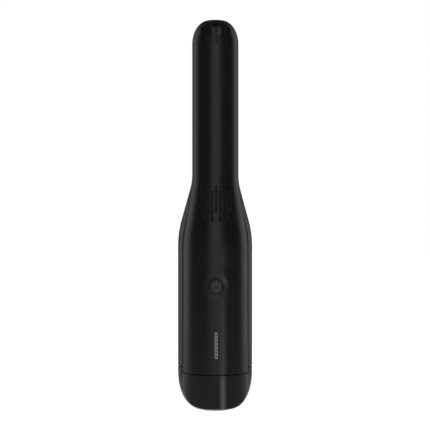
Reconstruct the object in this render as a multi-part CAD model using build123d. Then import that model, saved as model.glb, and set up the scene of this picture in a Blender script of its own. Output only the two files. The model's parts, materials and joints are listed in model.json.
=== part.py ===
from build123d import *
import math
import os

# ---------------------------------------------------------------- driving dimensions (mm)
# The handheld vacuum stands on its inlet collar: +Z up, the front faces -Y, and the origin
# is the centre of the inlet's mouth, under the middle of the whole outline.
HEIGHT = 360.0
WALL = 1.8

HANDLE_R = 21.4
DOME_FLAT_R = 6.0        # flat middle of the handle's rounded end
DOME_H = 22.0            # height of the rounded end

STRIP_R = 30.65          # raised front strip of the body, round about the handle's axis
STRIP_FLARE_DEG = 9.8
STRIP_FLARE_R = 120.0    # large radius that turns the flare into the straight body
STRIP_FLARE_Z = 148.0    # top of the straight body on the strip
STRIP_BLEND_R = 70.0     # hollow radius between handle and flare

BODY_A = 34.5            # half width of the body's ellipse
BODY_D = 29.3            # half depth of the body's ellipse
BODY_SET_BACK = 8.5      # ellipse centre behind the handle's axis
BODY_FLARE_DEG = 15.6
BODY_FLARE_R = 94.5
BODY_FLARE_Z = 150.7
BODY_BLEND_R = 50.0
SET_BACK_TOP_Z = 222.0   # the body starts to move back here
SET_BACK_LOW_Z = 182.0   # and is fully set back here

AXIS_Y = (STRIP_R - BODY_SET_BACK - BODY_D) / 2     # handle axis; centres the outline on Y
BODY_Y = AXIS_Y + BODY_SET_BACK                     # centre of the body's ellipse

SPLIT_BODY_Y = AXIS_Y - 5.8     # parting line between the shells on the body
SPLIT_TOP_Z = 208.0             # the parting line leaves the handle's side here
SPLIT_LOW_Z = 166.0             # and runs straight down from here
SPLIT_BEND = 16.0               # how softly it bends between them
GROOVE_W = 0.9
GROOVE_DEPTH = 1.0
HANDLE_SEAM_W = 0.35
SHELL_GAP = 0.1

STRIP_END_Z = 35.2       # lower end of the front shell
WING_END_Z = 40.7        # lower end of the rear shell
SEAM = 0.8               # open seam between the cup and the shells

# dust cup
CUP_FLAT_X = 8.0         # half width of the flat underside
CUP_PULL_X = 23.0        # control points of the side outline
CUP_PULL_Z = 9.0
CUP_SIDE_Z = 36.0        # the outline is upright above this
LIP_Z = 3.5              # underside of the front strip on the cup
LIP_FLAT_X = 6.0
LIP_PULL_X = 25.0
LIP_PULL_Z = 9.5
LIP_SIDE_X = 30.1
LIP_SIDE_Z = 34.0
TOE_E, TOE_H = 6.0, 7.0      # front lower corner of the cup, depth and height
HEEL_E, HEEL_H = 14.0, 26.0  # rear lower corner of the cup

# inlet
INLET_R = 11.0
INLET_WALL = 1.5
COLLAR_R = 13.4
COLLAR_H = 3.2
INLET_TOP_Z = 16.0
FLAP_T = 1.2
FLAP_GAP = 0.3
FLAP_PIN_Y = 14.6
FLAP_PIN_Z = INLET_TOP_Z + FLAP_GAP + FLAP_T / 2
FLAP_PIN_R = 0.75
PIN_CLEAR = 0.05

# filter
DUCT_Y = 1.5             # axis of filter, fan and motor
FILTER_R = 22.3
FILTER_LOW_Z = 41.5
FILTER_TOP_Z = 89.0
DUCT_PLATE_Z = 44.5
DUCT_PLATE_T = 2.0
DUCT_HOLE_R = 22.8
DUCT_IN_R = 24.3
DUCT_OUT_R = 25.5
SEAT_Z = 106.0           # plate that carries the fan
SEAT_T = 2.0
DUCT_TOP_Z = 150.0
SPIGOT_LOW_Z = 31.0
SPIGOT_INSET = 2.3

# fan and motor, heights above the seat plate
FAN_R = 17.0
FAN_EYE_R = 9.5
SHROUD_H = 12.0
DIFFUSER_H = 6.0
MOTOR_R = 15.0
MOTOR_H = 26.0
SHAFT_R = 1.5
SHROUD_Z = SEAT_Z + SEAT_T + 3.0
DIFFUSER_Z = SHROUD_Z + SHROUD_H
MOTOR_Z = DIFFUSER_Z + DIFFUSER_H
CAN_T = 1.0              # side wall of the motor's can
CAN_END_T = 1.2
SEAT_R, SEAT_H = 4.0, 4.0
BEARING_R, BEARING_H = 3.0, 2.5
BEARING_LIP = 1.5        # wall outside each bearing
CORE_LOW_Z = MOTOR_Z + 6
CORE_TOP_Z = MOTOR_Z + 20
MAGNET_R = 7.2
BLADES = 7
BLADE_T = 0.9
VANES = 13

# power button and charge gauge
BUTTON_Z = 114.9
BUTTON_R = 6.6
BUTTON_GAP = 0.35
DISH_R = 11.0
DISH_DEPTH = 1.2
BUTTON_TRAVEL = 1.2
BUTTON_BACK_Y = AXIS_Y - STRIP_R + DISH_DEPTH + WALL     # inner face of the wall there
FLANGE_T = 0.8
SWITCH_H, PLUNGER_H = 0.8, 0.4
GAUGE_LOW_Z, GAUGE_TOP_Z = 49.1, 73.9
GAUGE_W = 3.1

# control board, behind the front strip, with its parts on the front face
BOARD_Y = -26.6         # front face of the board
BOARD_T = 1.2
BOARD_W = 21.0
BOARD_LOW_Z, BOARD_TOP_Z = 48.5, 130.0
LEAD_Y = BOARD_Y - 1.0       # the leads come down in front of the board
LEAD_END_Z = 126.0           # and end on the top of its connector

# air slots
END_SLOT_W = 2.2
END_SLOT_STEP_DEG = 16.4
END_SLOTS = ((336.8, 355.8), (328.0, 346.5), (335.8, 352.5))     # low and top z, by steps from the middle
SHOULDER_SLOT_W = 1.8
SHOULDER_SLOT_PITCH = 3.6
SHOULDER_SLOTS_HIGH = (182.0, 207.0)
SHOULDER_SLOTS_LOW = (173.5, 202.0)
SHOULDER_SLOT_STEPS = 4     # slots on each side of the middle one
SLOT_DEPTH_Y = 6.0          # the cuts stop this far from the handle's axis

# battery: two cells 18 mm across and 65 mm long, side by side
CELL_R = 9.15
CELL_L = 65.0
CELL_X = 9.6
CELL_LOW_Z = 236.0
CELL_POCKET_R = 9.3
CELL_POCKET_DEPTH = 4.0
FRAME_FLOOR = 2.5
FRAME_WINDOW_R = 3.4     # hole under each cell's end
STRIP_T = 0.3            # nickel strips between the cells and their frames
STRIP_HALF = 3.5

# charging socket and its board, in the handle's rounded end
SOCKET_LOW_Z = 350.0
SOCKET_TOP_Z = HEIGHT - 0.4
SOCKET_W, SOCKET_D = 9.0, 3.2
SOCKET_GAP = 0.3
SOCKET_T = 0.35
CHARGE_BOARD_Y = AXIS_Y + 1.7
CHARGE_BOARD_TOP_Z = 354.0

# release button at the back, with the hook that catches the cup's rib
RELEASE_Z = 58.0
RELEASE_W = 15.0
RELEASE_H = 8.0
RELEASE_TRAVEL = 2.0
RELEASE_GAP = 0.35
HOOK_W = 6.0
HOOK_Y1 = BODY_Y + BODY_D - WALL - 1.3     # outer face of the hook's arm
HOOK_Y0 = HOOK_Y1 - 1.6
HOOK_LOW_Z = 33.4
CATCH_W = 8.0
CATCH_REACH = 0.9
CATCH_Z = 36.6
CATCH_T = 1.8

# screws, from inside the chassis into bosses on the rear shell
SCREW_X, SCREW_ZS = 26.0, (80.0, 140.0)
BOSS_R = 2.8
BOSS_Y = 16.0
SCREW_R = 1.25
SCREW_L = 5.0
SCREW_HEAD_R, SCREW_HEAD_H = 2.4, 1.6
EAR_T = 2.0
EAR_HALF = 3.4
EAR_WEB_X = 20.0

FAR = 60.0               # beyond the outline everywhere


# ---------------------------------------------------------------- helpers
def box(x0, x1, y0, y1, z0, z1):
    return Pos((x0 + x1) / 2, (y0 + y1) / 2, (z0 + z1) / 2) * Box(x1 - x0, y1 - y0, z1 - z0)


def rod(radius, z0, z1, x=0.0, y=0.0):
    return Pos(x, y, (z0 + z1) / 2) * Cylinder(radius, z1 - z0)


def ring(outer, inner, z0, z1, x=0.0, y=0.0):
    return rod(outer, z0, z1, x, y) - rod(inner, z0 - 1, z1 + 1, x, y)


def rod_y(radius, y0, y1, x, z):
    return Pos(x, (y0 + y1) / 2, z) * Rot(90, 0, 0) * Cylinder(radius, y1 - y0)


def side_panel(edges, x0=-FAR, x1=FAR):
    """A solid with the given outline in Y and Z, from x0 to x1."""
    face = Plane.YZ * make_face(edges)
    return Pos(x0, 0, 0) * extrude(face, x1 - x0)


def flare_points(width, angle_deg, radius, low_z, blend_r):
    """Where an outline leaves the upright body, and where it reaches the handle."""
    angle = math.radians(angle_deg)
    start_x = width - radius * (1 - math.cos(angle))
    start_z = low_z + radius * math.sin(angle)
    corner_z = start_z + (start_x - HANDLE_R) / math.tan(angle)
    reach = blend_r * math.tan(angle / 2)
    return angle, start_z, corner_z, reach


def body_half_width(z):
    angle, start_z, corner_z, reach = flare_points(
        BODY_A, BODY_FLARE_DEG, BODY_FLARE_R, BODY_FLARE_Z, BODY_BLEND_R)
    top_z = corner_z + reach
    if z <= BODY_FLARE_Z:
        return BODY_A
    if z <= start_z:
        return BODY_A - BODY_FLARE_R + math.sqrt(BODY_FLARE_R ** 2 - (z - BODY_FLARE_Z) ** 2)
    if z <= corner_z - reach * math.cos(angle):
        return HANDLE_R + (corner_z - z) * math.tan(angle)
    if z < top_z:
        return HANDLE_R + BODY_BLEND_R - math.sqrt(BODY_BLEND_R ** 2 - (top_z - z) ** 2)
    return HANDLE_R


def smooth(low, high, value):
    s = min(1.0, max(0.0, (value - low) / (high - low)))
    return s * s * (3 - 2 * s)


def body_section(z):
    """Half width, half depth and centre of the body's ellipse at a height."""
    half_width = body_half_width(z)
    widened = (half_width - HANDLE_R) / (BODY_A - HANDLE_R)
    half_depth = HANDLE_R + (BODY_D - HANDLE_R) * widened
    back = BODY_SET_BACK * (1 - smooth(SET_BACK_LOW_Z, SET_BACK_TOP_Z, z))
    return half_width, half_depth, AXIS_Y + back


def ellipse_at(half_width, half_depth, y, z):
    return Pos(0, y, z) * Ellipse(half_width, half_depth)


# ---------------------------------------------------------------- outer forms
def strip_form(inset=0.0, low_z=0.0):
    """Handle, flare and front strip: one round form about the handle's axis."""
    angle, start_z, corner_z, reach = flare_points(
        STRIP_R, STRIP_FLARE_DEG, STRIP_FLARE_R, STRIP_FLARE_Z, STRIP_BLEND_R)
    turn_r = STRIP_FLARE_R - inset
    turn_c = Vector(STRIP_R - STRIP_FLARE_R, STRIP_FLARE_Z)
    blend_r = STRIP_BLEND_R + inset
    blend_c = Vector(HANDLE_R + STRIP_BLEND_R, corner_z + reach)
    outer_r = STRIP_R - inset
    grip_r = HANDLE_R - inset
    top_z = HEIGHT - inset
    dome_z = HEIGHT - DOME_H
    slope = Vector(math.cos(angle), math.sin(angle))

    turn_end = turn_c + slope * turn_r
    blend_start = blend_c - slope * blend_r
    turn = RadiusArc((outer_r, STRIP_FLARE_Z), turn_end, -turn_r)
    blend = RadiusArc(blend_start, (grip_r, corner_z + reach), blend_r)
    dome = EllipticalCenterArc((DOME_FLAT_R, dome_z), grip_r - DOME_FLAT_R, top_z - dome_z, arc_size=90)
    outline = [
        Line((0, low_z), (outer_r, low_z)),
        Line((outer_r, low_z), (outer_r, STRIP_FLARE_Z)),
        turn,
        Line(turn @ 1, blend @ 0),
        blend,
        Line(blend @ 1, dome @ 0),
        dome,
        Line(dome @ 1, (0, top_z)),
        Line((0, top_z), (0, low_z)),
    ]
    face = Plane.XZ * make_face(outline)
    return Pos(0, AXIS_Y, 0) * revolve(face, Axis.Z)


def body_form(inset=0.0, low_z=0.0):
    """The wider, set-back body with its shoulder, rounding into the handle."""
    heights = [BODY_FLARE_Z + step * (SET_BACK_TOP_Z - BODY_FLARE_Z) / 12 for step in range(13)]
    sections = []
    for z in heights:
        half_width, half_depth, centre = body_section(z)
        sections.append(ellipse_at(half_width - inset, half_depth - inset, centre, z))
    shoulder = loft(sections)
    straight = Pos(0, 0, low_z) * extrude(
        ellipse_at(BODY_A - inset, BODY_D - inset, BODY_Y, 0), BODY_FLARE_Z - low_z)
    handle = strip_form(inset) & box(-FAR, FAR, -FAR, FAR, SET_BACK_TOP_Z, HEIGHT + 1)
    return straight + shoulder + handle


def front_zone(handle_shift, body_shift):
    """Everything in front of the parting line, moved by the shifts on handle and body."""
    top_y = AXIS_Y + handle_shift
    low_y = SPLIT_BODY_Y + body_shift
    bend = Bezier(
        (top_y, SPLIT_TOP_Z), (top_y, SPLIT_TOP_Z - SPLIT_BEND),
        (low_y, SPLIT_LOW_Z + SPLIT_BEND), (low_y, SPLIT_LOW_Z))
    outline = [
        Line((-FAR, -5), (-FAR, HEIGHT + 5)),
        Line((-FAR, HEIGHT + 5), (top_y, HEIGHT + 5)),
        Line((top_y, HEIGHT + 5), (top_y, SPLIT_TOP_Z)),
        bend,
        Line((low_y, SPLIT_LOW_Z), (low_y, -5)),
        Line((low_y, -5), (-FAR, -5)),
    ]
    return side_panel(outline)


def groove():
    """The line cut round the edge of the front strip, fine on the handle and wide on the body."""
    behind = front_zone(HANDLE_SEAM_W / 2, GROOVE_W / 2)
    ahead = front_zone(-HANDLE_SEAM_W / 2, -GROOVE_W / 2)
    core = strip_form(GROOVE_DEPTH, -6) + body_form(GROOVE_DEPTH, -6)
    return (behind - ahead) - core


def section_prism(inset, z0, z1):
    """The body's whole outline, strip and ellipse together, drawn in by the inset."""
    strip = rod(STRIP_R - inset, z0, z1, y=AXIS_Y)
    body = Pos(0, 0, z0) * extrude(ellipse_at(BODY_A - inset, BODY_D - inset, BODY_Y, 0), z1 - z0)
    return strip + body


def slot_tool(x, low_z, top_z, width, y0, y1):
    """A round-ended slot cut straight through along Y."""
    middle = box(x - width / 2, x + width / 2, y0, y1, low_z + width / 2, top_z - width / 2)
    ends = [rod_y(width / 2, y0, y1, x, z) for z in (low_z + width / 2, top_z - width / 2)]
    return middle + ends[0] + ends[1]


def slot_tools(y0, y1):
    tools = []
    for step in range(1 - len(END_SLOTS), len(END_SLOTS)):
        x = HANDLE_R * math.sin(math.radians(step * END_SLOT_STEP_DEG))
        low_z, top_z = END_SLOTS[abs(step)]
        tools.append(slot_tool(x, low_z, top_z, END_SLOT_W, y0, y1))
    for step in range(-SHOULDER_SLOT_STEPS, SHOULDER_SLOT_STEPS + 1):
        low_z, top_z = SHOULDER_SLOTS_LOW if step % 2 else SHOULDER_SLOTS_HIGH
        x = step * SHOULDER_SLOT_PITCH
        tools.append(slot_tool(x, low_z, top_z, SHOULDER_SLOT_W, y0, y1))
    return tools


def dish_tool(raise_by=0.0):
    """Saddle-shaped cutter: a dish that looks round on the strip's curved front."""
    floor_y = STRIP_R - DISH_DEPTH + raise_by
    hollow_r = DISH_R ** 2 / (2 * DISH_DEPTH)
    across_r = 1 / (1 / STRIP_R - 2 * DISH_DEPTH / DISH_R ** 2)
    return Pos(0, AXIS_Y + across_r - floor_y, BUTTON_Z) * Torus(across_r + hollow_r, hollow_r)


# ---------------------------------------------------------------- shells
def front_shell():
    shell = (strip_form(0) - strip_form(WALL)) & front_zone(-SHELL_GAP / 2, -SHELL_GAP / 2)
    shell = shell & box(-FAR, FAR, -FAR, FAR, STRIP_END_Z, HEIGHT + 1)
    shell = shell - groove()
    for tool in slot_tools(-FAR, AXIS_Y - SLOT_DEPTH_Y):
        shell = shell - tool
    # a thicker pad behind the button keeps the wall whole under the dish
    pad = rod_y(DISH_R + 1.0, AXIS_Y - STRIP_R, BUTTON_BACK_Y, 0, BUTTON_Z)
    shell = shell + (pad & strip_form(0.5))
    shell = shell - dish_tool()
    shell = shell - rod_y(BUTTON_R + BUTTON_GAP, -FAR, AXIS_Y - 10, 0, BUTTON_Z)
    shell = shell - slot_tool(0, GAUGE_LOW_Z, GAUGE_TOP_Z, GAUGE_W, -FAR, AXIS_Y - 10)
    shell = shell - socket_opening()
    return shell


def rear_shell():
    shell = (body_form(0) - body_form(WALL)) - front_zone(SHELL_GAP / 2, SHELL_GAP / 2)
    shell = shell & box(-FAR, FAR, -FAR, FAR, WING_END_Z, HEIGHT + 1)
    shell = shell - groove()
    for tool in slot_tools(AXIS_Y + SLOT_DEPTH_Y, FAR):
        shell = shell - tool
    shell = shell - release_outline(RELEASE_GAP, BODY_Y, FAR)
    shell = shell - socket_opening()
    for x, z in screw_places():
        boss_top = BODY_Y + BODY_D * math.sqrt(1 - (x / BODY_A) ** 2) - 1.0
        boss = rod_y(BOSS_R, BOSS_Y, boss_top, x, z)
        shell = shell + (boss & body_form(0.5)) - rod_y(SCREW_R, BOSS_Y - 1, BOSS_Y + SCREW_L, x, z)
    return shell


# ---------------------------------------------------------------- dust cup
def cup_outline(inset, share):
    """Point on the cup's side outline, from the flat underside (0) to its upright side (1)."""
    rest = 1 - share
    weights = (rest ** 3, 3 * rest ** 2 * share, 3 * rest * share ** 2, share ** 3)
    side_x = BODY_A - inset
    xs = (CUP_FLAT_X - inset / 2, CUP_PULL_X - inset / 2, side_x, side_x)
    zs = (inset, inset, CUP_PULL_Z + inset * 0.7, CUP_SIDE_Z)
    return sum(w * x for w, x in zip(weights, xs)), sum(w * z for w, z in zip(weights, zs))


def corner_inset(z, depth, height):
    if z >= height:
        return 0.0
    return depth * (1 - math.sqrt(1 - (1 - z / height) ** 2))


def cup_bowl(inset, top_z):
    """Rounded bowl: an ellipse at each height, fading in to the flat underside."""
    sections = []
    for step in range(11):
        half_width, z = cup_outline(inset, step / 10)
        front = BODY_Y - BODY_D + inset + corner_inset(z - inset, TOE_E, TOE_H)
        back = BODY_Y + BODY_D - inset - corner_inset(z - inset, HEEL_E, HEEL_H)
        sections.append(ellipse_at(half_width, (back - front) / 2, (back + front) / 2, z))
    bowl = loft(sections)
    rim = extrude(ellipse_at(BODY_A - inset, BODY_D - inset, BODY_Y, CUP_SIDE_Z), top_z - CUP_SIDE_Z)
    return bowl + rim


def cup_strip(inset, top_z):
    """The front strip carried on over the cup, with its rounded lower outline."""
    side = Bezier(
        (LIP_FLAT_X, LIP_Z + inset), (LIP_PULL_X - inset / 2, LIP_Z + inset),
        (LIP_SIDE_X - inset, LIP_PULL_Z + inset * 0.7), (LIP_SIDE_X - inset, LIP_SIDE_Z))
    right = [
        Line((0, LIP_Z + inset), side @ 0), side, Line(side @ 1, (LIP_SIDE_X - inset, top_z)),
        Line((LIP_SIDE_X - inset, top_z), (0, top_z)), Line((0, top_z), (0, LIP_Z + inset)),
    ]
    half = Pos(0, BODY_Y, 0) * extrude(Plane.XZ * make_face(right), FAR)
    outline = half + mirror(half, Plane.YZ)
    return outline & rod(STRIP_R - inset, 0, top_z, y=AXIS_Y)


def dust_cup():
    strip_top = STRIP_END_Z - SEAM
    wing_top = WING_END_Z - SEAM
    outer = cup_bowl(0, wing_top) - (
        front_zone(GROOVE_W / 2, GROOVE_W / 2) & box(-FAR, FAR, -FAR, FAR, strip_top, wing_top + 1))
    outer = outer + cup_strip(0, strip_top)
    inner = cup_bowl(WALL, wing_top + 1) + cup_strip(WALL, wing_top + 1)
    cup = outer - inner - rod(COLLAR_R + PIN_CLEAR, -1, COLLAR_H + 2)
    # catch rib for the release hook, inside the rear rim
    inner_back = BODY_Y + BODY_D - WALL
    rib = box(-CATCH_W / 2, CATCH_W / 2, inner_back - CATCH_REACH, inner_back + 0.6,
              CATCH_Z, CATCH_Z + CATCH_T)
    return cup + rib


def inlet_tube():
    tube = rod(INLET_R + INLET_WALL, 0, INLET_TOP_Z)
    collar = rod(COLLAR_R, 0, COLLAR_H)
    # a flange inside the cup's floor, and two ears that carry the flap's pin
    tube = tube + collar + rod(COLLAR_R + 1.4, COLLAR_H, COLLAR_H + 1.2)
    for side in (-1, 1):
        ear = box(side * 5.5 - 1.1, side * 5.5 + 1.1, INLET_R + 0.5, FLAP_PIN_Y + 1.8,
                  INLET_TOP_Z - 5.0, FLAP_PIN_Z + 1.9)
        tube = tube + (ear - rod(INLET_R + 1.0, INLET_TOP_Z, HEIGHT))
    tube = tube - rod(INLET_R, -1, HEIGHT)
    pin_hole = Pos(0, FLAP_PIN_Y, FLAP_PIN_Z) * Rot(0, 90, 0) * Cylinder(FLAP_PIN_R, FAR)
    clear = box(-4.0, 4.0, INLET_R + INLET_WALL + 0.3, FAR, INLET_TOP_Z - 6, INLET_TOP_Z + 4)
    return tube - pin_hole - clear


def inlet_flap():
    """Round flap with a knuckle round the pin; its edge stays off the ears."""
    disc = rod(INLET_R + 1.2, FLAP_PIN_Z - FLAP_T / 2, FLAP_PIN_Z + FLAP_T / 2)
    rib = ring(INLET_R - 2.5, INLET_R - 3.7, FLAP_PIN_Z, FLAP_PIN_Z + 1.4)
    tongue = box(-3.6, 3.6, INLET_R - 3, FLAP_PIN_Y, FLAP_PIN_Z - FLAP_T / 2, FLAP_PIN_Z + FLAP_T / 2)
    knuckle = Pos(0, FLAP_PIN_Y, FLAP_PIN_Z) * Rot(0, 90, 0) * Cylinder(1.55, 7.2)
    pin = Pos(0, FLAP_PIN_Y, FLAP_PIN_Z) * Rot(0, 90, 0) * Cylinder(FLAP_PIN_R + PIN_CLEAR, FAR)
    ear_room = box(-FAR, FAR, INLET_R - 0.2, FAR, 0, FAR) - box(-4.0, 4.0, 0, FAR, 0, FAR)
    return (disc + rib + tongue + knuckle) - pin - ear_room


def flap_hinge_pin():
    return Pos(0, FLAP_PIN_Y, FLAP_PIN_Z) * Rot(0, 90, 0) * Cylinder(FLAP_PIN_R, 13.6)


def cup_seal():
    return section_prism(3.2, 27.6, 30.6) - section_prism(4.8, 27.0, 31.0)


# ---------------------------------------------------------------- filter
def filter_frame():
    low = ring(FILTER_R, 15.2, FILTER_LOW_Z, FILTER_LOW_Z + 3.0, y=DUCT_Y)
    high = ring(FILTER_R, 17.0, FILTER_TOP_Z - 2.5, FILTER_TOP_Z, y=DUCT_Y)
    posts = []
    for turn in range(6):
        post = Pos(0, DUCT_Y, 0) * Rot(0, 0, 60 * turn) * box(
            20.6, FILTER_R - 0.05, -1.0, 1.0, FILTER_LOW_Z + 2.5, FILTER_TOP_Z - 2.0)
        posts.append(post)
    # finger bar across the lower ring
    grip = box(-16.0, 16.0, DUCT_Y - 1.2, DUCT_Y + 1.2, FILTER_LOW_Z, FILTER_LOW_Z + 2.5)
    frame = low + high + grip
    for post in posts:
        frame = frame + post
    return frame


def filter_pleats():
    """Folded paper ring: a star-shaped sleeve."""
    folds = 28
    outer, inner, thick = 20.2, 16.4, 0.9

    def star(big, small):
        points = []
        for fold in range(folds):
            for radius, half in ((big, 0), (small, 0.5)):
                angle = 2 * math.pi * (fold + half) / folds
                points.append((radius * math.cos(angle), radius * math.sin(angle)))
        return make_face(Polyline(*points, close=True))

    low, high = FILTER_LOW_Z + 3.0, FILTER_TOP_Z - 2.5
    sleeve = extrude(star(outer, inner) - star(outer - thick, inner - thick), high - low)
    return Pos(0, DUCT_Y, low) * sleeve


def filter_cap():
    disc = rod(16.8, FILTER_TOP_Z - 2.5, FILTER_TOP_Z - 0.8, y=DUCT_Y)
    boss = rod(6.0, FILTER_TOP_Z - 0.8, FILTER_TOP_Z + 1.2, y=DUCT_Y)
    return disc + boss


def filter_seal():
    return ring(FILTER_R - 0.4, FILTER_R - 3.0, FILTER_TOP_Z, FILTER_TOP_Z + 2.0, y=DUCT_Y)


def prefilter_mesh():
    """Fine steel sleeve with rows of windows, inside the folded paper."""
    low, high = FILTER_LOW_Z + 3.0, FILTER_TOP_Z - 2.5
    sleeve = ring(15.0, 14.5, low, high, y=DUCT_Y)
    for row in range(6):
        z = low + 4.0 + row * 6.4
        for turn in range(6):
            window = Pos(0, DUCT_Y, z) * Rot(0, 0, 30 * turn) * Box(40, 4.0, 4.0)
            sleeve = sleeve - window
    return sleeve


# ---------------------------------------------------------------- chassis, fan and motor
def duct_housing():
    spigot = section_prism(SPIGOT_INSET, SPIGOT_LOW_Z, DUCT_PLATE_Z) - section_prism(
        SPIGOT_INSET + 1.5, SPIGOT_LOW_Z - 1, DUCT_PLATE_Z + 1)
    plate = section_prism(SPIGOT_INSET, DUCT_PLATE_Z, DUCT_PLATE_Z + DUCT_PLATE_T)
    plate = plate - rod(DUCT_HOLE_R, 0, FAR, y=DUCT_Y)
    tube = ring(DUCT_OUT_R, DUCT_IN_R, DUCT_PLATE_Z + 0.5, DUCT_TOP_Z, y=DUCT_Y)
    seat = ring(DUCT_OUT_R - 0.2, FAN_EYE_R + 3.0, SEAT_Z, SEAT_Z + SEAT_T, y=DUCT_Y)
    housing = spigot + plate + tube + seat
    for x, z in screw_places():
        near_x, far_x = sorted((x, math.copysign(EAR_WEB_X, x)))
        low_z, top_z = z - EAR_HALF, z + EAR_HALF
        ear = box(x - EAR_HALF, x + EAR_HALF, BOSS_Y - EAR_T, BOSS_Y - 0.02, low_z, top_z)
        web = box(near_x - 0.6, far_x + 0.6, BOSS_Y - EAR_T, BOSS_Y - 0.02, low_z, top_z)
        housing = housing + ((ear + web) - rod(DUCT_OUT_R - 0.5, 0, HEIGHT, y=DUCT_Y))
        housing = housing - rod_y(SCREW_R + 0.2, BOSS_Y - 5, BOSS_Y + 5, x, z)
    # way through for the release hook behind the rear rim
    notch_half = CATCH_W / 2 + 0.6
    notch = box(-notch_half, notch_half, HOOK_Y0 - RELEASE_TRAVEL - 0.6, FAR,
                SPIGOT_LOW_Z - 1, DUCT_PLATE_Z + DUCT_PLATE_T + 1)
    return housing - notch


def impeller_shroud():
    """Cover that guides the air from the eye to the fan's rim."""
    outer = rod(DUCT_IN_R - 0.1, SHROUD_Z, SHROUD_Z + SHROUD_H, y=DUCT_Y)
    eye_r, rim_r = FAN_EYE_R, FAN_R + 0.8
    inside = [
        Line((0, SHROUD_Z - 1), (eye_r, SHROUD_Z - 1)),
        Line((eye_r, SHROUD_Z - 1), (eye_r, SHROUD_Z + 1.5)),
        Spline((eye_r, SHROUD_Z + 1.5), (rim_r, SHROUD_Z + 6.5), tangents=[(0, 1), (1, 0.25)]),
        Line((rim_r, SHROUD_Z + 6.5), (rim_r + 3.0, SHROUD_Z + 6.5)),
        Line((rim_r + 3.0, SHROUD_Z + 6.5), (rim_r + 3.0, SHROUD_Z + SHROUD_H + 1)),
        Line((rim_r + 3.0, SHROUD_Z + SHROUD_H + 1), (0, SHROUD_Z + SHROUD_H + 1)),
        Line((0, SHROUD_Z + SHROUD_H + 1), (0, SHROUD_Z - 1)),
    ]
    hollow = revolve(Plane.XZ * make_face(inside), Axis.Z)
    return outer - Pos(0, DUCT_Y, 0) * hollow


def motor_mount_ring():
    return ring(21.0, 13.5, SEAT_Z + SEAT_T, SHROUD_Z, y=DUCT_Y)


def impeller():
    """Hub, back plate and swept blades, just clear of the shroud."""
    low = SHROUD_Z + 2.0
    back = SHROUD_Z + SHROUD_H - 2.4
    hub_line = [
        Line((0, low), (3.2, low)),
        Spline((3.2, low), (FAN_R, back), tangents=[(0, 1), (1, 0.1)]),
        Line((FAN_R, back), (FAN_R, back + 1.4)),
        Line((FAN_R, back + 1.4), (0, back + 1.4)),
        Line((0, back + 1.4), (0, low)),
    ]
    hub = revolve(Plane.XZ * make_face(hub_line), Axis.Z)
    envelope_line = [
        Line((2.0, low + 0.6), (8.6, low + 0.6)),
        Spline((8.6, low + 0.6), (FAN_R - 0.1, SHROUD_Z + 7.3), tangents=[(0.2, 1), (1, 0.25)]),
        Line((FAN_R - 0.1, SHROUD_Z + 7.3), (FAN_R - 0.1, back + 0.3)),
        Line((FAN_R - 0.1, back + 0.3), (2.0, back + 0.3)),
        Line((2.0, back + 0.3), (2.0, low + 0.6)),
    ]
    envelope = revolve(Plane.XZ * make_face(envelope_line), Axis.Z)
    wheel = hub
    inner_arc = CenterArc((11.0, 6.0), 12.0, 150, 100)
    outer_arc = CenterArc((11.0, 6.0), 12.0 + BLADE_T, 150, 100)
    ends = [Line(inner_arc @ end, outer_arc @ end) for end in (0, 1)]
    vane = Pos(0, 0, low) * extrude(make_face([inner_arc, outer_arc] + ends), back + 0.4 - low)
    for blade in range(BLADES):
        wheel = wheel + (Rot(0, 0, blade * 360 / BLADES) * vane & envelope)
    return Pos(0, DUCT_Y, 0) * (wheel - rod(SHAFT_R, 0, HEIGHT))


def diffuser():
    """Ring of fixed vanes that straightens the air before the motor."""
    base = ring(DUCT_IN_R - 0.1, 3.4, DIFFUSER_Z, DIFFUSER_Z + 1.2, y=DUCT_Y)
    windows = ring(FAN_R + 5.2, FAN_R + 0.9, DIFFUSER_Z - 1, DIFFUSER_Z + 2, y=DUCT_Y)
    part = base - windows
    room = ring(DUCT_IN_R - 0.1, MOTOR_R + 0.4, DIFFUSER_Z, DIFFUSER_Z + DIFFUSER_H, y=DUCT_Y)
    blade = Pos(19.8, 0, DIFFUSER_Z + DIFFUSER_H / 2) * Rot(18, 0, 0) * Box(8.6, 0.8, DIFFUSER_H + 2)
    for vane in range(VANES):
        part = part + (Pos(0, DUCT_Y, 0) * Rot(0, 0, vane * 360 / VANES) * blade & room)
    return part + ring(FAN_R, FAN_R - 1.2, DIFFUSER_Z, DIFFUSER_Z + DIFFUSER_H, y=DUCT_Y)


def motor_can():
    """Closed can with a bearing seat in each end and three vents in the top."""
    top_z = MOTOR_Z + MOTOR_H
    can = rod(MOTOR_R, MOTOR_Z, top_z, y=DUCT_Y)
    can = can - rod(MOTOR_R - CAN_T, MOTOR_Z + CAN_END_T, top_z - CAN_END_T, y=DUCT_Y)
    can = can + rod(SEAT_R, MOTOR_Z, MOTOR_Z + SEAT_H, y=DUCT_Y)
    can = can + rod(SEAT_R, top_z - SEAT_H, top_z, y=DUCT_Y)
    can = can - rod(SHAFT_R + 0.5, MOTOR_Z - 1, top_z + 1, y=DUCT_Y)
    pocket_h = BEARING_H + 0.5
    can = can - rod(BEARING_R, MOTOR_Z + BEARING_LIP, MOTOR_Z + BEARING_LIP + pocket_h, y=DUCT_Y)
    can = can - rod(BEARING_R, top_z - BEARING_LIP - pocket_h, top_z - BEARING_LIP, y=DUCT_Y)
    for turn in range(3):
        vent = Pos(0, DUCT_Y, top_z) * Rot(0, 0, 120 * turn + 90) * Pos(9.5, 0, 0) * Cylinder(2.2, 4)
        can = can - vent
    return can


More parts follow.
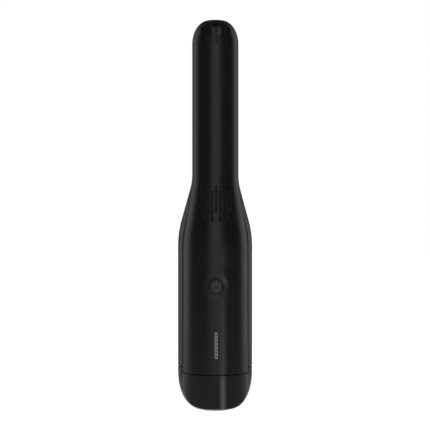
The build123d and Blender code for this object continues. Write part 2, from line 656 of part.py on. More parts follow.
def bearings():
    bore = SHAFT_R + 0.02
    low_z = MOTOR_Z + BEARING_LIP
    high_z = MOTOR_Z + MOTOR_H - BEARING_LIP
    low = ring(BEARING_R, bore, low_z, low_z + BEARING_H, y=DUCT_Y)
    high = ring(BEARING_R, bore, high_z - BEARING_H, high_z, y=DUCT_Y)
    return low, high


def stator_windings():
    """Iron ring with six teeth and a coil on each."""
    middle_z = (CORE_LOW_Z + CORE_TOP_Z) / 2
    core_h = CORE_TOP_Z - CORE_LOW_Z
    core = ring(MOTOR_R - CAN_T - 0.05, 11.5, CORE_LOW_Z, CORE_TOP_Z, y=DUCT_Y)
    for tooth in range(6):
        turned = Pos(0, DUCT_Y, middle_z) * Rot(0, 0, 60 * tooth)
        core = core + turned * Pos(9.8, 0, 0) * Box(3.8, 3.0, core_h)
        core = core + turned * Pos(10.0, 0, 0) * Box(2.4, 6.2, core_h + 2.0)
    return core


def rotor_magnet():
    return ring(MAGNET_R, SHAFT_R, CORE_LOW_Z, CORE_TOP_Z, y=DUCT_Y)


def motor_shaft():
    return rod(SHAFT_R, SHROUD_Z + 1.0, MOTOR_Z + MOTOR_H + 1.5, y=DUCT_Y)


def impeller_nut():
    low = SHROUD_Z + 2.0
    cone = Pos(0, DUCT_Y, low - 1.2) * Cone(1.2, 3.0, 2.4)
    return cone - rod(SHAFT_R, 0, HEIGHT, y=DUCT_Y)


def exhaust_foam(form, zone_keeps_front):
    """Thin foam pad that lines the shell behind the shoulder slots."""
    pad = form(WALL + 0.2) - form(WALL + 2.6)
    pad = pad & box(-FAR, FAR, -FAR, FAR, 170.0, 212.0)
    if zone_keeps_front:
        return pad & front_zone(-6.0, -2.0)
    return pad - front_zone(6.0, 10.0)


def exhaust_foam_front():
    return exhaust_foam(strip_form, True)


def exhaust_foam_rear():
    return exhaust_foam(body_form, False)


def vent_screen():
    screen = strip_form(WALL + 0.2) - strip_form(WALL + 0.7)
    screen = screen & box(-FAR, FAR, -FAR, FAR, 326.0, 356.0)
    return screen


# ---------------------------------------------------------------- controls
def button_face(radius, low_y, proud):
    body = rod_y(radius, low_y - 12, low_y, 0, BUTTON_Z)
    return body - dish_tool(proud)


def power_button():
    flange_y = BUTTON_BACK_Y + 0.02
    cap = button_face(BUTTON_R, flange_y, 0.3)
    flange = rod_y(BUTTON_R + 1.4, flange_y, flange_y + FLANGE_T, 0, BUTTON_Z)
    stem_end = BOARD_Y - SWITCH_H - PLUNGER_H - BUTTON_TRAVEL - 0.1
    stem = rod_y(1.5, flange_y + FLANGE_T / 2, stem_end, 0, BUTTON_Z)
    return cap + flange + stem


def button_spring():
    """Coil spring between the button's flange and the board."""
    back_y = BUTTON_BACK_Y + FLANGE_T + 0.02
    turns, wire, radius = 2.5, 0.25, 5.0
    length = BOARD_Y - back_y
    helix = Helix(pitch=(length - 2 * wire - 0.1) / turns, height=length - 2 * wire - 0.1, radius=radius)
    start = helix @ 0
    section = Plane(origin=start, z_dir=helix % 0) * Circle(wire)
    coil = sweep(section, path=helix)
    return Pos(0, back_y + wire + 0.05, BUTTON_Z) * Rot(-90, 0, 0) * coil


def charge_indicator():
    """Light bar that fills the slot in the strip, with a flange behind the wall."""
    bar = slot_tool(0, GAUGE_LOW_Z + 0.1, GAUGE_TOP_Z - 0.1, GAUGE_W - 0.2, -FAR, AXIS_Y - 20)
    bar = bar & (strip_form(0.0) - strip_form(WALL + 0.6))
    flange = box(-3.0, 3.0, -FAR, 0, GAUGE_LOW_Z + 0.4, GAUGE_TOP_Z + 1.5) & (
        strip_form(WALL + 0.02) - strip_form(WALL + 0.7))
    return bar + flange


def control_board():
    board = box(-BOARD_W / 2, BOARD_W / 2, BOARD_Y, BOARD_Y + BOARD_T, BOARD_LOW_Z, BOARD_TOP_Z)
    chips = [
        box(-3.5, 3.5, BOARD_Y - 0.9, BOARD_Y, 84.0, 91.0),
        box(-9.0, -4.5, BOARD_Y - 1.1, BOARD_Y, 94.0, 100.0),
        box(4.5, 9.0, BOARD_Y - 1.1, BOARD_Y, 94.0, 100.0),
        box(-8.0, 8.0, BOARD_Y - 2.0, BOARD_Y, LEAD_END_Z - 4.5, LEAD_END_Z),
    ]
    for chip in chips:
        board = board + chip
    return board


def tact_switch():
    case = box(-2.2, 2.2, BOARD_Y - SWITCH_H, BOARD_Y, BUTTON_Z - 2.2, BUTTON_Z + 2.2)
    return case + rod_y(1.2, BOARD_Y - SWITCH_H - PLUNGER_H, BOARD_Y - SWITCH_H / 2, 0, BUTTON_Z)


def indicator_leds():
    leds = []
    for step in range(4):
        z = GAUGE_LOW_Z + 5.0 + step * 5.2
        leds.append(box(-0.8, 0.8, BOARD_Y - 0.7, BOARD_Y, z - 0.5, z + 0.5))
    return leds


# ---------------------------------------------------------------- battery and charging
def battery_cells():
    return [rod(CELL_R, CELL_LOW_Z, CELL_LOW_Z + CELL_L, x, AXIS_Y) for x in (-CELL_X, CELL_X)]


def battery_frame(floor_z, side):
    """Round end frame with a pocket for each cell; side is 1 when the pockets open upwards."""
    outer = HANDLE_R - WALL - 0.3
    depth = side * CELL_POCKET_DEPTH
    plate_z = floor_z - side * FRAME_FLOOR
    low, high = sorted((plate_z, floor_z + depth))
    frame = rod(outer, low, high, y=AXIS_Y)
    pocket_low, pocket_high = sorted((floor_z, floor_z + depth + side))
    for x in (-CELL_X, CELL_X):
        frame = frame - rod(CELL_POCKET_R, pocket_low, pocket_high, x, AXIS_Y)
        frame = frame - rod(FRAME_WINDOW_R, low - 1, high + 1, x, AXIS_Y)
    return frame


def battery_frame_lower():
    return battery_frame(CELL_LOW_Z - STRIP_T, 1)


def battery_frame_upper():
    return battery_frame(CELL_LOW_Z + CELL_L + STRIP_T, -1)


def nickel_strips():
    strips = []
    for low_z in (CELL_LOW_Z - STRIP_T, CELL_LOW_Z + CELL_L):
        for x in (-CELL_X, CELL_X):
            strips.append(box(x - STRIP_HALF, x + STRIP_HALF, AXIS_Y - STRIP_HALF, AXIS_Y + STRIP_HALF,
                              low_z, low_z + STRIP_T))
    return strips


def rounded_bar(width, depth, z0, z1):
    """Upright bar with fully rounded narrow sides, on the handle's axis."""
    flat = box(-(width - depth) / 2, (width - depth) / 2, AXIS_Y - depth / 2, AXIS_Y + depth / 2, z0, z1)
    ends = [rod(depth / 2, z0, z1, side * (width - depth) / 2, AXIS_Y) for side in (-1, 1)]
    return flat + ends[0] + ends[1]


def socket_opening():
    return rounded_bar(SOCKET_W + SOCKET_GAP, SOCKET_D + SOCKET_GAP, HEIGHT - 6, HEIGHT + 1)


def charging_socket():
    shell = rounded_bar(SOCKET_W, SOCKET_D, SOCKET_LOW_Z, SOCKET_TOP_Z)
    cavity = rounded_bar(
        SOCKET_W - 2 * SOCKET_T, SOCKET_D - 2 * SOCKET_T, SOCKET_LOW_Z + 1.2, SOCKET_TOP_Z + 1)
    tongue = box(-3.3, 3.3, AXIS_Y - 0.35, AXIS_Y + 0.35, SOCKET_LOW_Z + 1, SOCKET_TOP_Z - 1)
    return (shell - cavity) + tongue


def charging_board():
    low = CELL_LOW_Z + CELL_L + STRIP_T + FRAME_FLOOR
    board = box(-10.0, 10.0, CHARGE_BOARD_Y, CHARGE_BOARD_Y + BOARD_T, low, CHARGE_BOARD_TOP_Z)
    board = board & strip_form(WALL + 0.9)
    chips = [
        box(-3.0, 3.0, CHARGE_BOARD_Y - 1.0, CHARGE_BOARD_Y, 312.0, 318.0),
        box(-7.0, -3.0, CHARGE_BOARD_Y - 1.6, CHARGE_BOARD_Y, 324.0, 329.0),
        box(3.0, 7.0, CHARGE_BOARD_Y - 1.6, CHARGE_BOARD_Y, 324.0, 329.0),
    ]
    for chip in chips:
        board = board + chip
    return board


def lead(points, radius, bend):
    path = FilletPolyline(*points, radius=bend)
    section = Plane(origin=path @ 0, z_dir=path % 0) * Circle(radius)
    return sweep(section, path=path)


def battery_leads():
    """Two wires from the lower battery frame down to the control board."""
    top = CELL_LOW_Z - STRIP_T - FRAME_FLOOR
    leads = []
    for x in (-6.0, 6.0):
        points = [(x, AXIS_Y - 8, top), (x, AXIS_Y - 8, 176.0), (x, LEAD_Y, 150.0), (x, LEAD_Y, LEAD_END_Z)]
        leads.append(lead(points, 0.8, 12.0))
    return leads


def motor_leads():
    """Three thin wires from the motor's upper end over the duct's rim to the board."""
    start_z = MOTOR_Z + MOTOR_H
    leads = []
    for x in (-2.6, 0.0, 2.6):
        start_y = DUCT_Y - 12.0
        points = [(x, start_y, start_z), (x, start_y, 162.0), (x, LEAD_Y, 158.0), (x, LEAD_Y, LEAD_END_Z)]
        leads.append(lead(points, 0.6, 3.5))
    return leads


# ---------------------------------------------------------------- release button and screws
def release_outline(grow, y0, y1):
    """Rounded bar across the back of the body."""
    radius = RELEASE_H / 2 + grow
    half = (RELEASE_W - RELEASE_H) / 2
    bar = box(-half, half, y0, y1, RELEASE_Z - radius, RELEASE_Z + radius)
    for side in (-1, 1):
        bar = bar + rod_y(radius, y0, y1, side * half, RELEASE_Z)
    return bar


def release_button():
    back = BODY_Y + BODY_D
    flush = extrude(ellipse_at(BODY_A, BODY_D, BODY_Y, 30), 50)
    cap = release_outline(0, HOOK_Y0, back + 3) & flush
    flange = release_outline(1.2, HOOK_Y0, HOOK_Y0 + 1.2)
    arm = box(-HOOK_W / 2, HOOK_W / 2, HOOK_Y0, HOOK_Y1, HOOK_LOW_Z, RELEASE_Z)
    nose = box(-HOOK_W / 2, HOOK_W / 2, HOOK_Y0, HOOK_Y1 + 0.2, HOOK_LOW_Z, HOOK_LOW_Z + 2.4)
    return cap + flange + arm + nose


def release_spring():
    wire, radius = 0.3, 2.4
    y0 = DUCT_Y + DUCT_OUT_R + 0.05
    length = HOOK_Y0 - y0 - 0.05
    helix = Helix(pitch=(length - 2 * wire) / 2.0, height=length - 2 * wire, radius=radius)
    section = Plane(origin=helix @ 0, z_dir=helix % 0) * Circle(wire)
    return Pos(0, y0 + wire, RELEASE_Z) * Rot(-90, 0, 0) * sweep(section, path=helix)


def screw_places():
    return [(side * SCREW_X, z) for z in SCREW_ZS for side in (-1, 1)]


def shell_screws():
    screws = []
    for x, z in screw_places():
        head_y = BOSS_Y - EAR_T
        shank = rod_y(SCREW_R - 0.02, head_y, BOSS_Y + SCREW_L - 0.5, x, z)
        head = rod_y(SCREW_HEAD_R, head_y - SCREW_HEAD_H, head_y, x, z)
        for half_w, half_h in ((0.35, 1.6), (1.6, 0.35)):       # crossed slots
            head = head - box(x - half_w, x + half_w, head_y - 2, head_y - 0.8, z - half_h, z + half_h)
        screws.append(shank + head)
    return screws


# ---------------------------------------------------------------- export
NODES = {
    "front_shell": front_shell,
    "rear_shell": rear_shell,
    "dust_cup": dust_cup,
    "inlet_tube": inlet_tube,
    "inlet_flap": inlet_flap,
    "flap_hinge_pin": flap_hinge_pin,
    "cup_seal": cup_seal,
    "filter_frame": filter_frame,
    "filter_pleats": filter_pleats,
    "filter_cap": filter_cap,
    "filter_seal": filter_seal,
    "prefilter_mesh": prefilter_mesh,
    "duct_housing": duct_housing,
    "impeller_shroud": impeller_shroud,
    "motor_mount_ring": motor_mount_ring,
    "impeller": impeller,
    "impeller_nut": impeller_nut,
    "diffuser": diffuser,
    "motor_can": motor_can,
    "lower_bearing": lambda: bearings()[0],
    "upper_bearing": lambda: bearings()[1],
    "stator_windings": stator_windings,
    "rotor_magnet": rotor_magnet,
    "motor_shaft": motor_shaft,
    "exhaust_foam_front": exhaust_foam_front,
    "exhaust_foam_rear": exhaust_foam_rear,
    "vent_screen": vent_screen,
    "power_button": power_button,
    "button_spring": button_spring,
    "charge_indicator": charge_indicator,
    "control_board": control_board,
    "tact_switch": tact_switch,
    "indicator_leds": indicator_leds,
    "battery_cells": battery_cells,
    "battery_frame_lower": battery_frame_lower,
    "battery_frame_upper": battery_frame_upper,
    "nickel_strips": nickel_strips,
    "charging_socket": charging_socket,
    "charging_board": charging_board,
    "battery_leads": battery_leads,
    "motor_leads": motor_leads,
    "release_button": release_button,
    "release_spring": release_spring,
    "shell_screws": shell_screws,
}


def main():
    os.makedirs("parts", exist_ok=True)
    for name, make in NODES.items():
        shape = make()
        if isinstance(shape, list):
            shape = Compound(children=shape)
        export_step(shape, f"parts/{name}.step")


if __name__ == "__main__":
    main()
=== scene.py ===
import json
import math

import bpy
import numpy as np
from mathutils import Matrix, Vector
from mathutils.geometry import delaunay_2d_cdt


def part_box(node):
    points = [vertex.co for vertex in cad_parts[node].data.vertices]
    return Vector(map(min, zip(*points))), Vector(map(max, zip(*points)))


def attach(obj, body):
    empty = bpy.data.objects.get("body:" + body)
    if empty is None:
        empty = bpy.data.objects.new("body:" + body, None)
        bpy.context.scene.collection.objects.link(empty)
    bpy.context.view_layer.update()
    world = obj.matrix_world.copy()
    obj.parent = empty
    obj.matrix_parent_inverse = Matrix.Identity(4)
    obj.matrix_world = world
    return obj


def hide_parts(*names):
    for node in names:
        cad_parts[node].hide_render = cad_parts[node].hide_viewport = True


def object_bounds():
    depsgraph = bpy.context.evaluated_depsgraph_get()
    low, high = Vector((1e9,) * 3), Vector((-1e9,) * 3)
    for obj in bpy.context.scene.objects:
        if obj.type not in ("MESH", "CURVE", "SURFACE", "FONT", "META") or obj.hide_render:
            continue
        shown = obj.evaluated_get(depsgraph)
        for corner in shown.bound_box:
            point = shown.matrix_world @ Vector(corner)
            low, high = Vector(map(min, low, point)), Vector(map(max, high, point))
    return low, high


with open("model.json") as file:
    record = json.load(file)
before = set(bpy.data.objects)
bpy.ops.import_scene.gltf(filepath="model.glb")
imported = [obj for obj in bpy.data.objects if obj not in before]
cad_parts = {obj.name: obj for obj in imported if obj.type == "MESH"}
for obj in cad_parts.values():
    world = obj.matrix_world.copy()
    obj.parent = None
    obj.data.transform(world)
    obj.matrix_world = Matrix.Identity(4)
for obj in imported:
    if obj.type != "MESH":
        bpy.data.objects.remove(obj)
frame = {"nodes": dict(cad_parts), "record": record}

cad_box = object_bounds()
record = frame["record"]

# ---------------------------------------------------------------- sizes (mm, in the CAD frame)
MM = 0.001
PORT = next(m for m in record["mounts"] if m["name"] == "charging_port")
BUTTON_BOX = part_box("power_button")
GAUGE_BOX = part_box("charge_indicator")

HEIGHT = cad_box[1].z / MM
WALL = 1.8
HANDLE_R = 21.4
DOME_FLAT_R, DOME_H = 6.0, 22.0
DOME_Z = HEIGHT - DOME_H
DOME_RUN = 30.0                   # length given to the dome in the outline's own measure
CAP_RUN = 5.0                     # and to the flat round the charging port

AXIS_Y = PORT["pos_m"][1] / MM    # axis of the handle and the front strip
STRIP_R = 30.65
BODY_A = cad_box[1].x / MM
BODY_D = 29.3
BODY_SET_BACK = 8.5
BODY_Y = AXIS_Y + BODY_SET_BACK
SET_BACK_TOP_Z, SET_BACK_LOW_Z = 222.0, 182.0
SPLIT_BODY_Y = AXIS_Y - 5.8
SPLIT_TOP_Z, SPLIT_LOW_Z, SPLIT_BEND = 208.0, 166.0, 16.0
GROOVE_W, GROOVE_DEPTH = 0.9, 1.0
HANDLE_SEAM_W = 0.35
SHELL_GAP = 0.1
EDGE_R = 0.28                     # rounding of the shells' edges

STRIP_END_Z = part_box("front_shell")[0].z / MM
WING_END_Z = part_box("rear_shell")[0].z / MM
SEAM = 0.8
SOCKET_W, SOCKET_D, SOCKET_GAP = 9.0, 3.2, 0.3

BUTTON_Z = (BUTTON_BOX[0].z + BUTTON_BOX[1].z) / 2 / MM
BUTTON_R, BUTTON_GAP = 6.6, 0.35
DISH_R, DISH_DEPTH = 11.0, 0.32
DISH_EDGE, DISH_STEP = 0.45, 0.1          # narrow bevel round the dish: width and depth
GAUGE_CLEAR, GAUGE_FLANGE = 0.1, 1.5         # the bar's gap in its slot, and its flange above the slot
GAUGE_LOW_Z = GAUGE_BOX[0].z / MM - GAUGE_CLEAR
GAUGE_TOP_Z = GAUGE_BOX[1].z / MM - GAUGE_FLANGE
GAUGE_W = 3.1
RELEASE_Z = 58.0
RELEASE_W, RELEASE_H, RELEASE_GAP = 15.0, 8.0, 0.35

END_SLOT_W, END_SLOT_STEP = 2.2, math.radians(16.4)
END_SLOTS = ((336.8, 355.8), (328.0, 346.5), (335.8, 352.5))     # low and top z, by steps from the middle
END_SLOT_DEEP_Y = 6.0                                     # slots stop this far in front of the axis
SHOULDER_SLOT_W, SHOULDER_SLOT_PITCH = 1.8, 3.6
SHOULDER_SLOTS = {0: (182.0, 207.0), 1: (173.5, 202.0)}

COLLAR_HOLE_R = 13.45


# ---------------------------------------------------------------- outer forms, as formulas
def smooth(low, high, value):
    share = np.clip((value - low) / (high - low), 0, 1)
    return share * share * (3 - 2 * share)


def flare(width, angle_deg, turn_r, low_z, blend_r):
    """Half width against height, where the straight body narrows to the handle."""
    angle = math.radians(angle_deg)
    start_z = low_z + turn_r * math.sin(angle)
    start_x = width - turn_r * (1 - math.cos(angle))
    corner_z = start_z + (start_x - HANDLE_R) / math.tan(angle)
    reach = blend_r * math.tan(angle / 2)
    top_z = corner_z + reach

    def half_width(z):
        rise = np.clip(z - low_z, 0, turn_r)
        drop = np.clip(top_z - z, 0, blend_r)
        turn = width - turn_r + np.sqrt(turn_r ** 2 - rise ** 2)
        slope = HANDLE_R + (corner_z - z) * math.tan(angle)
        hollow = HANDLE_R + blend_r - np.sqrt(blend_r ** 2 - drop ** 2)
        steps = [z <= start_z, z <= corner_z - reach * math.cos(angle)]
        return np.select(steps, [turn, slope], hollow)

    return half_width


strip_radius = flare(STRIP_R, 9.8, 120.0, 148.0, 70.0)
body_half_width = flare(BODY_A, 15.6, 94.5, 150.7, 50.0)


def split_line():
    """Height, place and half gap of the parting line between the shells."""
    t = np.linspace(0, 1, 200)
    ends, middle = (1 - t) ** 3 + 3 * (1 - t) ** 2 * t, 3 * (1 - t) * t ** 2 + t ** 3
    z = ((1 - t) ** 3 * SPLIT_TOP_Z + 3 * (1 - t) ** 2 * t * (SPLIT_TOP_Z - SPLIT_BEND)
         + 3 * (1 - t) * t ** 2 * (SPLIT_LOW_Z + SPLIT_BEND) + t ** 3 * SPLIT_LOW_Z)
    y = ends * AXIS_Y + middle * SPLIT_BODY_Y
    gap = (ends * HANDLE_SEAM_W + middle * GROOVE_W) / 2
    return z[::-1], y[::-1], gap[::-1]


SPLIT = split_line()


def port_radius(angle):
    """Distance from the axis to the edge of the charging port's opening, in a direction."""
    round_r = (SOCKET_D + SOCKET_GAP) / 2
    reach = (SOCKET_W + SOCKET_GAP) / 2 - round_r
    across, along = np.abs(np.sin(angle)), np.maximum(np.abs(np.cos(angle)), 1e-6)
    flat = round_r / along
    ends = reach * across + np.sqrt(np.maximum(round_r ** 2 - (reach * along) ** 2, 0))
    return np.where(flat * across <= reach, flat, ends)


def dish(x, z):
    """How far the round hollow about the button sinks into the front."""
    away = np.hypot(x, z - BUTTON_Z)
    share = np.clip(1 - (away / DISH_R) ** 2, 0, 1)
    return DISH_DEPTH * share ** 1.3 + DISH_STEP * np.clip((DISH_R - away) / DISH_EDGE, 0, 1)


def section(side, s):
    """Height, half width, half depth and centre of a shell's section; s runs up the outline."""
    turn = np.clip((s - DOME_Z) / DOME_RUN, 0, 1) * math.pi / 2
    z = np.minimum(s, DOME_Z) + DOME_H * np.sin(turn)
    dome = DOME_FLAT_R + (HANDLE_R - DOME_FLAT_R) * np.cos(turn)
    if side < 0:
        half = np.where(s < DOME_Z, strip_radius(z), dome)
        return z, half, half, AXIS_Y + 0 * z
    half = np.where(s < DOME_Z, body_half_width(z), dome)
    widened = (half - HANDLE_R) / (BODY_A - HANDLE_R)
    depth = np.where(s < DOME_Z, HANDLE_R + (BODY_D - HANDLE_R) * widened, dome)
    back = BODY_SET_BACK * (1 - smooth(SET_BACK_LOW_Z, SET_BACK_TOP_Z, z))
    return z, half, depth, AXIS_Y + back


def shell_limit(side, s):
    """Largest angle from the front (side -1) or from the back (side 1), at the parting line."""
    z, _, depth, centre = section(side, s)
    edge_y = np.interp(z, SPLIT[0], SPLIT[1]) + side * np.interp(z, SPLIT[0], SPLIT[2])
    return np.arccos(np.clip(side * (edge_y - centre) / depth, -1, 1))


def shell_skin(side, u, s):
    """Points on a shell's outside: u from -1 to 1 across it, s up the outline."""
    z, half, depth, centre = section(side, s)
    angle = u * shell_limit(side, s)
    cap = np.clip((s - DOME_Z - DOME_RUN) / CAP_RUN, 0, 1)
    scale = 1 - cap + cap * port_radius(angle) / DOME_FLAT_R
    x = half * scale * np.sin(angle)
    y = centre + side * depth * scale * np.cos(angle)
    if side < 0:
        y = y + dish(x, z)
    return np.stack([x, y, z], -1)


# ---------------------------------------------------------------- mesh making
ARC = 33.0        # width given to half a shell in the flat pattern


def capsule_outline(x, low_z, top_z, width, spacing=1.0):
    """Points round an upright slot with round ends."""
    radius = width / 2
    low, top = low_z + radius, top_z - radius
    up = np.linspace(low, top, max(2, round((top - low) / spacing)))
    turn = np.linspace(0, math.pi, 9)[1:-1]
    xs = np.concatenate([0 * up + x + radius, x + radius * np.cos(turn),
                         0 * up + x - radius, x - radius * np.cos(turn)])
    zs = np.concatenate([up, top + radius * np.sin(turn), up[::-1], low - radius * np.sin(turn)])
    return np.stack([xs, zs], -1)


def in_capsule(x, low_z, top_z, width, grow=0.0):
    radius = width / 2
    low, top = low_z + radius, top_z - radius

    def inside(points):
        rise = np.clip(points[:, 1], low, top)
        return np.hypot(points[:, 0] - x, points[:, 1] - rise) < radius + grow

    return inside


def flat_mesh(points, loops, keep):
    """Triangles over flat points, with the loops' edges kept; keep says which centres stay."""
    verts = [Vector(p) for p in points]
    edges = []
    for loop in loops:
        first = len(verts)
        verts += [Vector(p) for p in loop]
        edges += [(first + k, first + (k + 1) % len(loop)) for k in range(len(loop))]
    out, _, faces, _, _, _ = delaunay_2d_cdt(verts, edges, [], 0, 1e-7)
    flat = np.array([tuple(v) for v in out])
    faces = np.array([tuple(f) for f in faces])
    a, b, c = flat[faces[:, 0]], flat[faces[:, 1]], flat[faces[:, 2]]
    area = (b[:, 0] - a[:, 0]) * (c[:, 1] - a[:, 1]) - (b[:, 1] - a[:, 1]) * (c[:, 0] - a[:, 0])
    faces[area < 0] = faces[area < 0][:, ::-1]
    good = keep((a + b + c) / 3) & (np.abs(area) > 1e-9)
    faces = faces[good]
    used = np.unique(faces)
    renumber = np.zeros(len(flat), int)
    renumber[used] = np.arange(len(used))
    return flat[used], renumber[faces]


def unit(vectors):
    return vectors / np.maximum(np.linalg.norm(vectors, axis=-1, keepdims=True), 1e-9)


def normals_of(skin, flat, step=0.02):
    """Outward directions of a surface given as a function of flat points."""
    right, up = np.array([step, 0]), np.array([0, step])
    across = skin(flat + right) - skin(flat - right)
    along = skin(flat + up) - skin(flat - up)
    return unit(np.cross(across, along))


def boundary_loops(faces):
    """Closed loops of the edges that have a face on one side only, in the faces' order."""
    directed = {(int(f[k]), int(f[(k + 1) % 3])) for f in faces for k in range(3)}
    follow = {a: b for a, b in directed if (b, a) not in directed}
    loops = []
    while follow:
        start = next(iter(follow))
        loop, here = [], start
        while here in follow:
            loop.append(here)
            here = follow.pop(here)
        loops.append(np.array(loop))
    return sorted(loops, key=len, reverse=True)


def solid_from_sheet(name, points, normals, faces, inner, lip=None, pull=None, edge=EDGE_R):
    """Closed mesh from an outer sheet and its inner twin, with rounded edges round every opening.

    lip gives, for each point of the outer edge, how far its lower half stands out as a step.
    pull is the direction in which the holes' walls run; the outer edge's walls follow the normals.
    """
    outer = points.copy()
    inside = inner.copy()
    rims = []
    bend = [math.radians(a) for a in (0, 30, 60, 90)]
    for number, loop in enumerate(boundary_loops(faces)):
        at, up = points[loop], normals[loop]
        along = unit(np.roll(at, -1, 0) - at) + unit(at - np.roll(at, 1, 0))
        out = unit(np.cross(unit(along), up))
        rows = [(at + out * edge * (math.sin(b) - 1) - up * edge * (1 - math.cos(b))) for b in bend]
        mixes = [(up * math.cos(b) + out * math.sin(b)) for b in bend]
        strips = [(rows[k], rows[k + 1], mixes[k], mixes[k + 1]) for k in range(3)]
        if number == 0 and lip is not None:
            reach = lip(at)[:, None]
            low = at - up * GROOVE_DEPTH
            strips.append((rows[3], low, out, out))
            strips.append((low, low + out * reach, up, up))
            inside[loop] = inner[loop] + out * reach
            strips.append((low + out * reach, inside[loop], out, out))
        else:
            wall_out = out
            if number > 0 and pull is not None:
                depth = np.linalg.norm(inner[loop] - at, axis=1, keepdims=True)
                slant = np.maximum(np.abs(up @ pull)[:, None], 0.3)
                inside[loop] = at - pull * depth / slant
                wall_out = unit(out - (out @ pull)[:, None] * pull)
            strips.append((rows[3], inside[loop], wall_out, wall_out))
        outer[loop] = rows[0]
        rims.append((loop, strips))

    count = len(points)
    all_points = [outer, inside]
    all_faces = [faces, faces[:, ::-1] + count]
    corner_normals = [normals[faces].reshape(-1, 3), -normals[faces[:, ::-1]].reshape(-1, 3)]
    first = 2 * count
    quads, quad_normals = [], []
    for loop, strips in rims:
        here, after = np.arange(len(loop)), np.roll(np.arange(len(loop)), -1)
        upper = loop
        for k, (_, low, top_normal, low_normal) in enumerate(strips):
            if k == len(strips) - 1:
                lower = loop + count
            else:
                lower = first + here
                all_points.append(low)
                first += len(loop)
            quads.append(np.stack([upper[after], upper[here], lower[here], lower[after]], 1))
            quad_normals.append(np.stack(
                [top_normal[after], top_normal[here], low_normal[here], low_normal[after]], 1).reshape(-1, 3))
            upper = lower
    mesh_faces = [tuple(f) for block in all_faces + quads for f in block.tolist()]
    directions = np.concatenate(corner_normals + quad_normals)
    return make_piece(name, np.concatenate(all_points), mesh_faces, directions)


def make_piece(name, points, faces, corner_normals=None):
    """Object from points in mm; corner_normals give the shading, else it is smooth."""
    mesh = bpy.data.meshes.new(name)
    mesh.from_pydata((np.asarray(points) * MM).tolist(), [], faces)
    mesh.polygons.foreach_set("use_smooth", [True] * len(mesh.polygons))
    if corner_normals is not None:
        mesh.normals_split_custom_set(unit(np.asarray(corner_normals)).tolist())
    mesh.update()
    piece = bpy.data.objects.new(name, mesh)
    bpy.context.scene.collection.objects.link(piece)
    return piece


def finish_piece(piece, body, material, slot, *nodes):
    piece.data.materials.append(material)
    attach(piece, body)
    if nodes:
        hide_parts(*nodes)
    return piece


# ---------------------------------------------------------------- shells
def pattern_place(side, outline):
    """Where an outline in X and Z lies in a shell's flat pattern."""
    x, z = outline[:, 0], outline[:, 1]
    rise = np.clip((z - DOME_Z) / DOME_H, 0, 1)
    s = np.minimum(z, DOME_Z) + DOME_RUN * np.arcsin(rise) / (math.pi / 2)
    half = section(side, s)[1]
    angle = np.arcsin(np.clip(x / half, -1, 1))
    return np.stack([angle / shell_limit(side, s) * ARC, s], -1)


def slot_places():
    """Every slot as (x, low z, top z, width)."""
    places = []
    for step in range(1 - len(END_SLOTS), len(END_SLOTS)):
        x = HANDLE_R * math.sin(step * END_SLOT_STEP)
        low, top = END_SLOTS[abs(step)]
        widest = math.hypot(abs(x) + END_SLOT_W / 2, END_SLOT_DEEP_Y)
        share = min(1.0, (widest - DOME_FLAT_R) / (HANDLE_R - DOME_FLAT_R))
        top = min(top, DOME_Z + DOME_H * math.sqrt(1 - share ** 2))
        places.append((x, low, top, END_SLOT_W))
    for step in range(-4, 5):
        low, top = SHOULDER_SLOTS[step % 2]
        places.append((step * SHOULDER_SLOT_PITCH, low, top, SHOULDER_SLOT_W))
    return places


